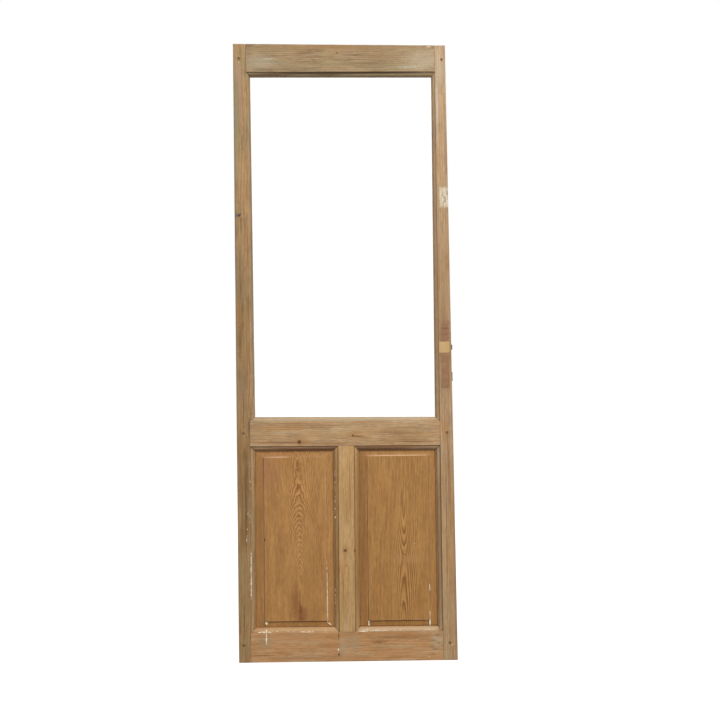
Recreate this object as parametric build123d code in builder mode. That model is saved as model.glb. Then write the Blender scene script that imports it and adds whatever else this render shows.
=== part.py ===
from build123d import *
import os
from collections import namedtuple

# An old half-glazed door leaf: two stiles, three rails and a muntin, mortised, wedged and pegged,
# with stuck ovolo mouldings mitred at every corner, one glazed opening and two raised panels.
# Millimetres. X runs across the leaf, Y from its front face to its back, Z up.
# The origin is under the middle of the leaf, at the foot, half-way through its thickness.

# The leaf as it has been trimmed to fit
leaf_width = 699.0
leaf_height = 1976.0
leaf_thickness = 40.0
left_foot_trim = 5.5
right_top_trim = 16.0
top_fall = 10.0
worn_arris = 0.8

# Members, measured across their flat faces, without the moulding stuck on them
stile_left_face = 44.5
stile_right_face = 48.0
top_rail_face = 94.0
middle_rail_face = 78.0
middle_rail_height = 681.5
bottom_rail_face = 92.0
muntin_face = 50.0
muntin_offset = 2.5

# Stuck mouldings: a quirk, an ovolo and a fillet
glazed_moulding_width = 14.0
panel_moulding_width = 15.0
quirk_width = 1.5
quirk_depth = 2.0
ovolo_depth = 7.5
fillet_width = 2.5

# Glazing
rebate_depth = 23.0
bedding_thickness = 1.5
bedding_setback = 2.0
glass_thickness = 4.0
glass_clearance = 1.5
bead_width = 11.0
bead_depth = 12.0
bead_nose = 3.0
bead_clearance = 0.2
pin_size = 1.5
pin_length = 20.0
pin_clearance = 0.05
pin_end_distance = 60.0
pin_spacing = 300.0

# Raised panels
panel_groove = 10.5
panel_clearance = 0.25
panel_tongue = 12.0
panel_field_setback = 7.0
panel_field_step = 3.5
panel_field_arris = 0.8

# Width of the bevelled margin on each side of a field: left, right, top and bottom
left_panel_margins = (29.0, 24.5, 19.0, 20.0)
right_panel_margins = (28.0, 24.5, 17.0, 19.0)

# Joints of the frame
tenon_thickness = 13.0
tenon_height = 58.0
tenon_shoulder = 8.0
haunch_length = 12.0
stub_tenon_length = 30.0
joint_clearance = 0.1
wedge_length = 32.0
wedge_thickness = 5.0
wedge_point_room = 4.0
peg_radius = 4.5
peg_from_shoulder = 23.0
peg_recess = 1.0
top_left_peg_rise = 8.5
middle_left_peg_rise = 4.5
peg_clearance = 0.05

# Old mortise lock, left seized in the right stile, with a patch over its spindle hole
lock_above_middle_rail = 233.5
latch_thickness = 12.0
latch_length = 16.0
latch_proud = 4.0
latch_nose = 2.5
bolt_below_latch = 94.0
bolt_thickness = 10.0
bolt_length = 29.0
bolt_proud = 3.0
bolt_nose = 1.0
lock_part_depth = 12.0
lock_part_clearance = 0.3
lock_case_margin = 14.0
lock_case_depth = 32.0
lock_case_thickness = 14.0
lock_clearance = 0.3
forend_lap = 20.0
forend_width = 20.0
forend_thickness = 3.0
forend_corner = 2.0
forend_screw_inset = 9.0
forend_screw_head_radius = 4.0
forend_screw_radius = 2.0
forend_screw_length = 22.0
patch_width = 33.0
patch_height = 35.0
patch_depth = 6.0
patch_from_moulding = 0.5
patch_clearance = 0.1

# Hinge gains in the left edge, open to the back
hinge_gain_length = 90.0
hinge_gain_width = 28.0
hinge_gain_depth = 2.5
hinge_heights = (230.0, 1776.0)
hinge_screw_spacing_y = 14.0
hinge_screw_spacing_z = 64.0
hinge_screw_radius = 1.6
hinge_screw_depth = 24.0

# A cut nail left in the left stile
nail_height = 1424.0
nail_from_edge = 18.0
nail_head = (5.0, 4.0)
nail_head_thickness = 2.0
nail_shank = 2.4
nail_length = 30.0
nail_recess = 0.4
nail_clearance = 0.1

# Planes and lines worked out from the sizes above
front = -leaf_thickness / 2
back = leaf_thickness / 2
half_width = leaf_width / 2
oversize = 6.0

left_joint = -half_width + stile_left_face
right_joint = half_width - stile_right_face
top_joint = leaf_height - top_rail_face
middle_top_joint = middle_rail_height + middle_rail_face
middle_low_joint = middle_rail_height
lock_height = middle_top_joint + lock_above_middle_rail
bottom_joint = bottom_rail_face
muntin_middle = (left_joint + right_joint) / 2 + muntin_offset
muntin_left_joint = muntin_middle - muntin_face / 2
muntin_right_joint = muntin_middle + muntin_face / 2

lip_depth = leaf_thickness - rebate_depth
cheek_depth = (leaf_thickness - panel_groove) / 2
bedding_front = front + lip_depth
glass_front = bedding_front + bedding_thickness
bead_front = glass_front + glass_thickness

Opening = namedtuple("Opening", "left low right high")
glazed_opening = Opening(left_joint, middle_top_joint, right_joint, top_joint)
left_opening = Opening(left_joint, bottom_joint, muntin_left_joint, middle_low_joint)
right_opening = Opening(muntin_right_joint, bottom_joint, right_joint, middle_low_joint)

leaf_outline = [
    (-half_width + left_foot_trim, 0),
    (half_width, 0),
    (half_width - right_top_trim, leaf_height - top_fall),
    (-half_width, leaf_height),
]
right_edge_foot = Vector(half_width, 0, 0)
right_edge_top = Vector(half_width - right_top_trim, 0, leaf_height - top_fall)

inwards = {
    "left": Vector(1, 0, 0),
    "right": Vector(-1, 0, 0),
    "top": Vector(0, 0, -1),
    "bottom": Vector(0, 0, 1),
}

os.makedirs("parts", exist_ok=True)


def write(part, name):
    """Label a finished piece and write it as its own file."""
    part.label = name
    export_step(part, f"parts/{name}.step")


# The leaf's outside: out of square where it has been planed, with its arrises worn off

with BuildPart() as leaf_envelope:
    with BuildSketch(Plane.XZ):
        Polygon(*leaf_outline, align=None)
    extrude(amount=leaf_thickness / 2, both=True)
    chamfer(leaf_envelope.faces().filter_by(Axis.Y).edges(), worn_arris)


def trim_to_leaf():
    """Cut the part being built back to the planed outside of the leaf."""
    add(leaf_envelope.part, mode=Mode.INTERSECT)


def block(x_range, y_range, z_range, mode=Mode.ADD):
    """Extrude a rectangle between the given limits in the part being built."""
    with BuildSketch(Plane.XY.offset(z_range[0])) as base:
        with Locations(((x_range[0] + x_range[1]) / 2, (y_range[0] + y_range[1]) / 2)):
            Rectangle(x_range[1] - x_range[0], y_range[1] - y_range[0])
    extrude(base.sketch, amount=z_range[1] - z_range[0], mode=mode)


def side_start(opening, side, depth, face_y):
    """Give the corner of an opening where a run along one of its sides begins."""
    run = inwards[side].cross(depth)
    x = opening.left if side == "left" or run.X > 0.5 else opening.right
    z = opening.high if side == "top" or run.Z < -0.5 else opening.low
    if side == "right":
        x = opening.right
    if side == "bottom":
        z = opening.low
    return Vector(x, face_y, z)


def side_length(opening, side):
    """Give the length of one side of an opening."""
    upright = side in ("left", "right")
    return opening.high - opening.low if upright else opening.right - opening.left


def ovolo_outline(width, cheek):
    """Draw a quirk, an ovolo and a fillet, from the flat face to the edge of the opening."""
    fillet_start = width - fillet_width
    ovolo_low = quirk_depth + ovolo_depth
    ovolo_width = fillet_start - quirk_width
    Line((0, quirk_depth), (quirk_width, quirk_depth))
    EllipticalCenterArc(
        (quirk_width, ovolo_low), ovolo_width, ovolo_depth, start_angle=-90, arc_size=90
    )
    Polyline(
        (fillet_start, ovolo_low),
        (width, ovolo_low),
        (width, cheek),
        (0, cheek),
        (0, quirk_depth),
    )


def bead_outline():
    """Draw a glazing bead: flat on the glass and on the rebate, rounded towards the room."""
    Line((bead_clearance, 0), (bead_width, 0))
    Line((bead_width, 0), (bead_width, bead_nose))
    EllipticalCenterArc(
        (bead_nose, bead_nose),
        bead_width - bead_nose,
        bead_depth - bead_nose,
        start_angle=0,
        arc_size=90,
    )
    Polyline((bead_nose, bead_depth), (bead_clearance, bead_depth), (bead_clearance, 0))


def mitred_length(opening, side, depth, face_y, outline, width, shrink=0.0):
    """Run an outline along one side of an opening and cut both ends to a mitre."""
    inward = inwards[side]
    start = side_start(opening, side, depth, face_y)
    length = side_length(opening, side)
    with BuildPart() as strip:
        with BuildSketch(Plane(origin=start, x_dir=inward, z_dir=inward.cross(depth))):
            with BuildLine():
                outline()
            make_face()
        extrude(amount=length)
        with BuildSketch(Plane(origin=start, x_dir=inward, z_dir=-depth)):
            Polygon(
                (0, shrink),
                (width, width + shrink),
                (width, length - width - shrink),
                (0, length - shrink),
                align=None,
            )
        extrude(amount=leaf_thickness, both=True, mode=Mode.INTERSECT)
    return strip.part


# Mouldings, one mitred length for each side of each opening, gathered by the member they are stuck on

from_front = Vector(0, 1, 0)
from_back = Vector(0, -1, 0)


def glazed_ovolo():
    """Draw the moulding round the glass."""
    ovolo_outline(glazed_moulding_width, lip_depth)


def panel_ovolo():
    """Draw the moulding round a panel."""
    ovolo_outline(panel_moulding_width, cheek_depth)


glazed_members = {
    "left": "stile_left",
    "right": "stile_right",
    "top": "top_rail",
    "bottom": "middle_rail",
}
left_panel_members = {
    "left": "stile_left",
    "right": "muntin",
    "top": "middle_rail",
    "bottom": "bottom_rail",
}
right_panel_members = {
    "left": "muntin",
    "right": "stile_right",
    "top": "middle_rail",
    "bottom": "bottom_rail",
}
mouldings = {name: [] for name in (*glazed_members.values(), "bottom_rail", "muntin")}

for side, member in glazed_members.items():
    mouldings[member].append(
        mitred_length(glazed_opening, side, from_front, front, glazed_ovolo, glazed_moulding_width)
    )

for opening, members in ((left_opening, left_panel_members), (right_opening, right_panel_members)):
    for side, member in members.items():
        for depth, face_y in ((from_front, front), (from_back, back)):
            mouldings[member].append(
                mitred_length(opening, side, depth, face_y, panel_ovolo, panel_moulding_width)
            )

# Tenons of the three rails: the height of each tenon, and of the haunch beside it

Tenon = namedtuple("Tenon", "low high haunch_low haunch_high")
top_tenon_low = top_joint + tenon_shoulder
bottom_tenon_high = bottom_joint - tenon_shoulder
middle_tenon_low = middle_low_joint + (middle_rail_face - tenon_height) / 2
tenons = {
    "top_rail": Tenon(
        top_tenon_low, top_tenon_low + tenon_height, top_tenon_low, leaf_height + oversize
    ),
    "middle_rail": Tenon(
        middle_tenon_low, middle_tenon_low + tenon_height, middle_low_joint, middle_top_joint
    ),
    "bottom_rail": Tenon(
        bottom_tenon_high - tenon_height, bottom_tenon_high, -oversize, bottom_tenon_high
    ),
}
left_peg_rises = {"top_rail": top_left_peg_rise, "middle_rail": middle_left_peg_rise}
peg_places = []
for rail_name, tenon in tenons.items():
    tenon_middle = (tenon.low + tenon.high) / 2
    left_peg_height = tenon_middle + left_peg_rises.get(rail_name, 0)
    peg_places.append((left_joint - peg_from_shoulder, left_peg_height))
    peg_places.append((right_joint + peg_from_shoulder, tenon_middle))


def rail_tenons(tenon, clearance=0.0, mode=Mode.ADD):
    """Add a rail's through tenons and haunches, or cut the mortises that take them."""
    half = tenon_thickness / 2 + clearance
    reach = half_width + oversize
    block(
        (-reach, reach),
        (-half, half),
        (tenon.low - clearance, tenon.high + clearance),
        mode,
    )
    block(
        (left_joint - haunch_length - clearance, right_joint + haunch_length + clearance),
        (-half, half),
        (tenon.haunch_low - clearance, tenon.haunch_high + clearance),
        mode,
    )


def wedge_shape(side, edge_z, upwards, clearance):
    """Draw one wedge beside a tenon, thick at the leaf's edge and thin inside."""
    outer = side * (half_width + oversize)
    point_room = wedge_point_room if clearance else 0
    point = side * (half_width - wedge_length - point_room)
    inner = edge_z + upwards * (joint_clearance - clearance)
    thick = edge_z + upwards * (wedge_thickness + clearance)
    Polygon((point, inner), (outer, inner), (outer, thick), align=None)


def wedges(clearance=0.0, mode=Mode.ADD):
    """Add the wedges above and below every tenon, or cut their room in the stiles."""
    half = tenon_thickness / 2 + clearance
    with BuildSketch(Plane.XZ) as shapes:
        for tenon in tenons.values():
            for side in (-1, 1):
                wedge_shape(side, tenon.high, 1, clearance)
                wedge_shape(side, tenon.low, -1, clearance)
    extrude(shapes.sketch, amount=half, both=True, mode=mode)


def peg_holes(radius, y_from, y_to, mode=Mode.SUBTRACT):
    """Bore the peg holes through a joint, or add the pegs that fill them."""
    with BuildSketch(Plane.XZ.offset(-y_from)) as rounds:
        with Locations(*peg_places):
            Circle(radius)
    extrude(rounds.sketch, amount=y_from - y_to, mode=mode)


def pin_stations(length):
    """Give the places of the pins along a bead, worked in from both of its ends."""
    span = length - 2 * pin_end_distance
    count = max(2, round(span / pin_spacing) + 1)
    return [pin_end_distance + span * step / (count - 1) for step in range(count)]


def bead_pin_rods(size):
    """Make every square glazing pin, driven through its bead into the side of the rebate."""
    with BuildPart() as rods:
        for side in inwards:
            inward = inwards[side]
            start = side_start(glazed_opening, side, from_front, bead_front)
            plane = Plane(origin=start, x_dir=inward, z_dir=-from_front)
            run = inward.cross(from_front)
            for station in pin_stations(side_length(glazed_opening, side)):
                middle = start + run * station + from_front * (bead_depth / 2)
                head = middle + inward * (bead_width - bead_nose)
                with BuildSketch(Plane(origin=head, x_dir=plane.z_dir, z_dir=-inward)):
                    Rectangle(size, size)
                extrude(amount=pin_length)
    return rods.part


pin_rods = bead_pin_rods(pin_size)
pin_holes = bead_pin_rods(pin_size + 2 * pin_clearance)

# Old lock, built square to the planed right edge

edge_direction = (right_edge_top - right_edge_foot).normalized()
edge_normal = Vector(0, -1, 0).cross(edge_direction) * -1


def edge_plane(height):
    """Give the plane of the right edge at a height, its X along the edge and its Z outwards."""
    along = height / edge_direction.Z
    return Plane(
        origin=right_edge_foot + edge_direction * along, x_dir=edge_direction, z_dir=edge_normal
    )


def edge_block(span, thickness, inner, outer, mode=Mode.ADD):
    """Extrude a rectangle square to the right edge, along a span measured from the latch."""
    with BuildSketch(edge_plane(lock_height).offset(inner)) as base:
        with Locations(((span[0] + span[1]) / 2, 0)):
            Rectangle(span[1] - span[0], thickness)
    extrude(base.sketch, amount=outer - inner, mode=mode)


def grown(span, margin):
    """Make a span longer by a margin at both of its ends."""
    return (span[0] - margin, span[1] + margin)


latch_span = (-latch_length / 2, latch_length / 2)
bolt_span = (-bolt_below_latch - bolt_length / 2, -bolt_below_latch + bolt_length / 2)
case_span = grown((bolt_span[0], latch_span[1]), lock_case_margin)
forend_span = grown(case_span, forend_lap)
forend_screw_places = [
    (forend_span[0] + forend_screw_inset, 0),
    (forend_span[1] - forend_screw_inset, 0),
]
case_inner = -forend_thickness - lock_case_depth
lock_part_inner = -forend_thickness - lock_part_depth


def lock_room():
    """Cut the room for the lock's case, its forend and their screws in the right stile."""
    edge_block(
        grown(case_span, lock_clearance),
        lock_case_thickness + 2 * lock_clearance,
        case_inner - lock_clearance,
        oversize,
        Mode.SUBTRACT,
    )
    edge_block(
        grown(forend_span, lock_clearance),
        forend_width + 2 * lock_clearance,
        -forend_thickness,
        oversize,
        Mode.SUBTRACT,
    )
    with BuildSketch(edge_plane(lock_height).offset(-forend_thickness)) as screw_holes:
        with Locations(*forend_screw_places):
            Circle(forend_screw_radius + peg_clearance)
    extrude(screw_holes.sketch, amount=-forend_screw_length, mode=Mode.SUBTRACT)


def lock_part_room():
    """Cut the ways for the latch and the bolt through the piece being built."""
    for span, thickness in ((latch_span, latch_thickness), (bolt_span, bolt_thickness)):
        edge_block(
            grown(span, lock_part_clearance),
            thickness + 2 * lock_part_clearance,
            lock_part_inner,
            oversize,
            Mode.SUBTRACT,
        )


def patch_block(clearance=0.0, mode=Mode.ADD):
    """Add the square patch over the old spindle hole, or cut its bed."""
    low = lock_height - patch_height / 2
    inner = right_joint + patch_from_moulding
    block(
        (inner - clearance, inner + patch_width + clearance),
        (front - clearance, front + patch_depth),
        (low - clearance, low + patch_height + clearance),
        mode,
    )


# Left edge: hinge gains and the old nail


def left_edge_x(height):
    """Give the place of the planed left edge at a height."""
    return -half_width + left_foot_trim * (1 - height / leaf_height)


def hinge_gains():
    """Cut the two gains for the hinges and the holes for their screws."""
    for height in hinge_heights:
        floor = left_edge_x(height) + hinge_gain_depth
        middle_y = back - hinge_gain_width / 2
        block(
            (-half_width - oversize, floor),
            (back - hinge_gain_width, back + oversize),
            (height - hinge_gain_length / 2, height + hinge_gain_length / 2),
            Mode.SUBTRACT,
        )
        gain_floor = Plane(origin=(floor, middle_y, height), x_dir=(0, 1, 0), z_dir=(1, 0, 0))
        with BuildSketch(gain_floor) as screw_holes:
            with GridLocations(hinge_screw_spacing_y, hinge_screw_spacing_z, 2, 2):
                Circle(hinge_screw_radius)
        extrude(screw_holes.sketch, amount=hinge_screw_depth, mode=Mode.SUBTRACT)


def nail_body(face_y, clearance=0.0, mode=Mode.ADD):
    """Add the cut nail, driven in from the given level, or cut its hole."""
    x = left_edge_x(nail_height) + nail_from_edge
    under_head = front + nail_recess + nail_head_thickness + clearance
    wide, tall = [size / 2 + clearance for size in nail_head]
    thin = nail_shank / 2 + clearance
    block((x - wide, x + wide), (face_y, under_head), (nail_height - tall, nail_height + tall), mode)
    block(
        (x - thin, x + thin),
        (face_y, under_head + nail_length),
        (nail_height - thin, nail_height + thin),
        mode,
    )


def stick_mouldings(name):
    """Join the mitred mouldings to the member they are worked on."""
    add(mouldings[name])


def cut_joints():
    """Cut the mortises, wedge room and peg holes that the rails' tenons need in a stile."""
    for tenon in tenons.values():
        rail_tenons(tenon, joint_clearance, Mode.SUBTRACT)
    wedges(joint_clearance, Mode.SUBTRACT)
    peg_holes(peg_radius + peg_clearance, front - oversize, back + oversize)


# Left stile

with BuildPart() as stile_left:
    block((-half_width, left_joint), (front, back), (0, leaf_height))
    cut_joints()
    stick_mouldings("stile_left")
    add(pin_holes, mode=Mode.SUBTRACT)
    hinge_gains()
    nail_body(front - oversize, nail_clearance, Mode.SUBTRACT)
    trim_to_leaf()
write(stile_left.part, "stile_left")

# Right stile

with BuildPart() as stile_right:
    block((right_joint, half_width), (front, back), (0, leaf_height))
    cut_joints()
    stick_mouldings("stile_right")
    add(pin_holes, mode=Mode.SUBTRACT)
    lock_room()
    patch_block(patch_clearance, Mode.SUBTRACT)
    trim_to_leaf()
write(stile_right.part, "stile_right")

# Rails: each is a plain bar between the stiles, its tenons, and the mouldings stuck on it

rail_faces = {
    "top_rail": (top_joint, leaf_height),
    "middle_rail": (middle_low_joint, middle_top_joint),
    "bottom_rail": (0, bottom_joint),
}
stub_half = panel_groove / 2


def muntin_stubs(clearance=0.0, mode=Mode.ADD):
    """Add the muntin's stub tenons, or cut the mortises that take them in the rails."""
    half_face = muntin_face / 2 - tenon_shoulder + clearance
    block(
        (muntin_middle - half_face, muntin_middle + half_face),
        (-stub_half - clearance, stub_half + clearance),
        (
            bottom_joint - stub_tenon_length - clearance,
            middle_low_joint + stub_tenon_length + clearance,
        ),
        mode,
    )


for rail_name, (low, high) in rail_faces.items():
    with BuildPart() as rail:
        block((left_joint, right_joint), (front, back), (low, high))
        rail_tenons(tenons[rail_name])
        stick_mouldings(rail_name)
        peg_holes(peg_radius + peg_clearance, front - oversize, back + oversize)
        if rail_name != "top_rail":
            muntin_stubs(joint_clearance, Mode.SUBTRACT)
        if rail_name != "bottom_rail":
            add(pin_holes, mode=Mode.SUBTRACT)
        trim_to_leaf()
    write(rail.part, rail_name)

# Muntin

with BuildPart() as muntin:
    block(
        (muntin_left_joint, muntin_right_joint), (front, back), (bottom_joint, middle_low_joint)
    )
    muntin_stubs()
    stick_mouldings("muntin")
write(muntin.part, "muntin")

# Raised and fielded panels, flat on the back, loose in their grooves


def make_panel(opening, margins):
    """Make one panel: a tongued plate, a bevelled margin and a raised field."""
    tongue_front = front + cheek_depth + panel_clearance
    tongue_back = back - cheek_depth - panel_clearance
    field_front = front + panel_field_setback
    field_foot = field_front + panel_field_step
    seat = panel_moulding_width
    left, right = opening.left + seat, opening.right - seat
    low, high = opening.low + seat, opening.high - seat
    middle = ((left + right) / 2, (low + high) / 2)
    left_margin, right_margin, top_margin, bottom_margin = margins
    field_left, field_right = left + left_margin, right - right_margin
    field_low, field_high = low + bottom_margin, high - top_margin
    field_middle = ((field_left + field_right) / 2, (field_low + field_high) / 2)
    field_size = (field_right - field_left, field_high - field_low)
    with BuildPart() as panel:
        block(
            (left - panel_tongue, right + panel_tongue),
            (tongue_front, tongue_back),
            (low - panel_tongue, high + panel_tongue),
        )
        with BuildSketch(Plane.XZ.offset(-tongue_front)):
            with Locations(middle):
                Rectangle(right - left, high - low)
        with BuildSketch(Plane.XZ.offset(-field_foot)):
            with Locations(field_middle):
                Rectangle(*field_size)
        loft()
        with BuildSketch(Plane.XZ.offset(-field_foot)):
            with Locations(field_middle):
                Rectangle(*field_size)
        extrude(amount=panel_field_step)
        field_edges = panel.faces().sort_by(Axis.Y)[0].edges()
        chamfer(field_edges, panel_field_arris)
    return panel.part


write(make_panel(left_opening, left_panel_margins), "panel_left")
write(make_panel(right_opening, right_panel_margins), "panel_right")

# Glass, its bedding and its beads

glass_width = glazed_opening.right - glazed_opening.left - 2 * glass_clearance
glass_height = glazed_opening.high - glazed_opening.low - 2 * glass_clearance
glazed_middle = (
    (glazed_opening.left + glazed_opening.right) / 2,
    (glazed_opening.low + glazed_opening.high) / 2,
)
bedding_width = glazed_moulding_width - glass_clearance - bedding_setback

with BuildPart() as glass_pane:
    with BuildSketch(Plane.XZ.offset(-glass_front)):
        with Locations(glazed_middle):
            Rectangle(glass_width, glass_height)
    extrude(amount=-glass_thickness)
write(glass_pane.part, "glass_pane")

with BuildPart() as glazing_bedding:
    with BuildSketch(Plane.XZ.offset(-bedding_front)):
        with Locations(glazed_middle):
            Rectangle(glass_width, glass_height)
            Rectangle(
                glass_width - 2 * bedding_width,
                glass_height - 2 * bedding_width,
                mode=Mode.SUBTRACT,
            )
    extrude(amount=-bedding_thickness)
write(glazing_bedding.part, "glazing_bedding")

for side in inwards:
    with BuildPart() as bead:
        add(
            mitred_length(
                glazed_opening, side, from_front, bead_front, bead_outline, bead_width, bead_clearance
            )
        )
        add(pin_holes, mode=Mode.SUBTRACT)
    write(bead.part, f"bead_{side}")

write(pin_rods, "bead_pins")

# Pegs and wedges of the frame's joints

with BuildPart() as tenon_pegs:
    peg_holes(peg_radius, front + peg_recess, back - peg_recess, Mode.ADD)
write(tenon_pegs.part, "tenon_pegs")

with BuildPart() as tenon_wedges:
    wedges()
    trim_to_leaf()
write(tenon_wedges.part, "tenon_wedges")

# Lock parts

with BuildPart() as lock_case:
    edge_block(case_span, lock_case_thickness, case_inner, -forend_thickness)
    lock_part_room()
write(lock_case.part, "lock_case")

with BuildPart() as lock_forend:
    edge_block(forend_span, forend_width, -forend_thickness, 0)
    fillet(lock_forend.edges().filter_by(Axis((0, 0, 0), edge_normal)), forend_corner)
    lock_part_room()
    with Locations(edge_plane(lock_height)):
        with Locations(*forend_screw_places):
            CounterSinkHole(
                forend_screw_radius + peg_clearance,
                forend_screw_head_radius + peg_clearance,
                forend_thickness,
            )
write(lock_forend.part, "lock_forend")

with BuildPart() as latch_tongue:
    edge_block(latch_span, latch_thickness, lock_part_inner, latch_proud)
    nose_edges = latch_tongue.faces().sort_by(Axis.X)[-1].edges().sort_by(Axis.Y)
    chamfer(nose_edges[-1], latch_nose)
write(latch_tongue.part, "latch_tongue")

with BuildPart() as lock_bolt:
    edge_block(bolt_span, bolt_thickness, lock_part_inner, bolt_proud)
    fillet(lock_bolt.faces().sort_by(Axis.X)[-1].edges(), bolt_nose)
write(lock_bolt.part, "lock_bolt")

countersink_depth = forend_screw_head_radius - forend_screw_radius

with BuildPart() as forend_screws:
    with BuildSketch(edge_plane(lock_height)) as shanks:
        with Locations(*forend_screw_places):
            Circle(forend_screw_radius)
    extrude(amount=-(forend_screw_length - lock_clearance))
    with BuildSketch(edge_plane(lock_height)) as heads:
        with Locations(*forend_screw_places):
            Circle(forend_screw_head_radius)
    extrude(amount=-countersink_depth, taper=45)
write(forend_screws.part, "forend_screws")

with BuildPart() as spindle_patch:
    patch_block()
write(spindle_patch.part, "spindle_patch")

with BuildPart() as cut_nail:
    nail_body(front + nail_recess)
write(cut_nail.part, "cut_nail")
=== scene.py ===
"""An old half-glazed pine door leaf: its worn members, raised panels, glass and old lock.

Sizes are millimetres until a mesh is made. X runs across the leaf, Y from its front face to its
back and Z up. The origin is under the middle of the leaf, at its foot.
"""

import logging
import math
from dataclasses import dataclass, field, replace
from enum import Enum
from typing import Sequence

import bmesh
import bpy
import numpy as np
from mathutils import Matrix


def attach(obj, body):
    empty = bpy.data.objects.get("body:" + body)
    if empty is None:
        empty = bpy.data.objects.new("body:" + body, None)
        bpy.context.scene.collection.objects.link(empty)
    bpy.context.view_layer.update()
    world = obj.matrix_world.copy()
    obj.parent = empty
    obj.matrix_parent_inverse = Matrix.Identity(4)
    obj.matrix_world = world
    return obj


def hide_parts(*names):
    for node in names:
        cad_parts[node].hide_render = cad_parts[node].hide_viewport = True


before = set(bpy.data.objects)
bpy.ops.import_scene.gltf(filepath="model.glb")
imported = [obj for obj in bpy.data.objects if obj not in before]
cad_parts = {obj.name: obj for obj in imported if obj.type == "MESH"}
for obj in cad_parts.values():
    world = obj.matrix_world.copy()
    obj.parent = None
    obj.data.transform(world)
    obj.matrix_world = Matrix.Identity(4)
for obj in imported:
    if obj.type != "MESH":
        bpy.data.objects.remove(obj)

LOG = logging.getLogger("door_leaf")
MM = 0.001
ROOT = "root"
HALF_THICK = 20.0
END_GAP = 0.15
PAST_FACE = 26.0

Thing = bpy.types.Object
Colour = tuple[float, float, float]
Level = np.ndarray | float
Span = tuple[float, float]
Line = tuple[tuple[float, ...], tuple[float, ...]]
Tools = list[tuple[str, Thing]]


# Shader sockets that take part in arithmetic


class Wire:
    """A shader socket that can be added, multiplied and so on in a Python expression."""

    def __init__(self, bench: "Bench", socket: bpy.types.NodeSocket) -> None:
        """Keep the socket and the bench that adds its nodes."""
        self.bench = bench
        self.socket = socket

    def __add__(self, other: "Wire | float") -> "Wire":
        """Add a value to the socket."""
        return self.bench.maths("ADD", self, other)

    def __sub__(self, other: "Wire | float") -> "Wire":
        """Take a value from the socket."""
        return self.bench.maths("SUBTRACT", self, other)

    def __rsub__(self, other: float) -> "Wire":
        """Take the socket from a value."""
        return self.bench.maths("SUBTRACT", other, self)

    def __mul__(self, other: "Wire | float") -> "Wire":
        """Multiply the socket by a value."""
        return self.bench.maths("MULTIPLY", self, other)

    def __truediv__(self, other: "Wire | float") -> "Wire":
        """Divide the socket by a value."""
        return self.bench.maths("DIVIDE", self, other)

    __radd__ = __add__
    __rmul__ = __mul__


Value = Wire | float
Paint = Wire | Colour


class Fitting:
    """A node on the bench, whose outputs are read by name or number."""

    def __init__(self, bench: "Bench", node: bpy.types.Node) -> None:
        """Keep the node and its bench."""
        self.bench = bench
        self.node = node

    def __getitem__(self, output: str | int) -> Wire:
        """Give one output of the node."""
        return Wire(self.bench, self.node.outputs[output])


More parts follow.
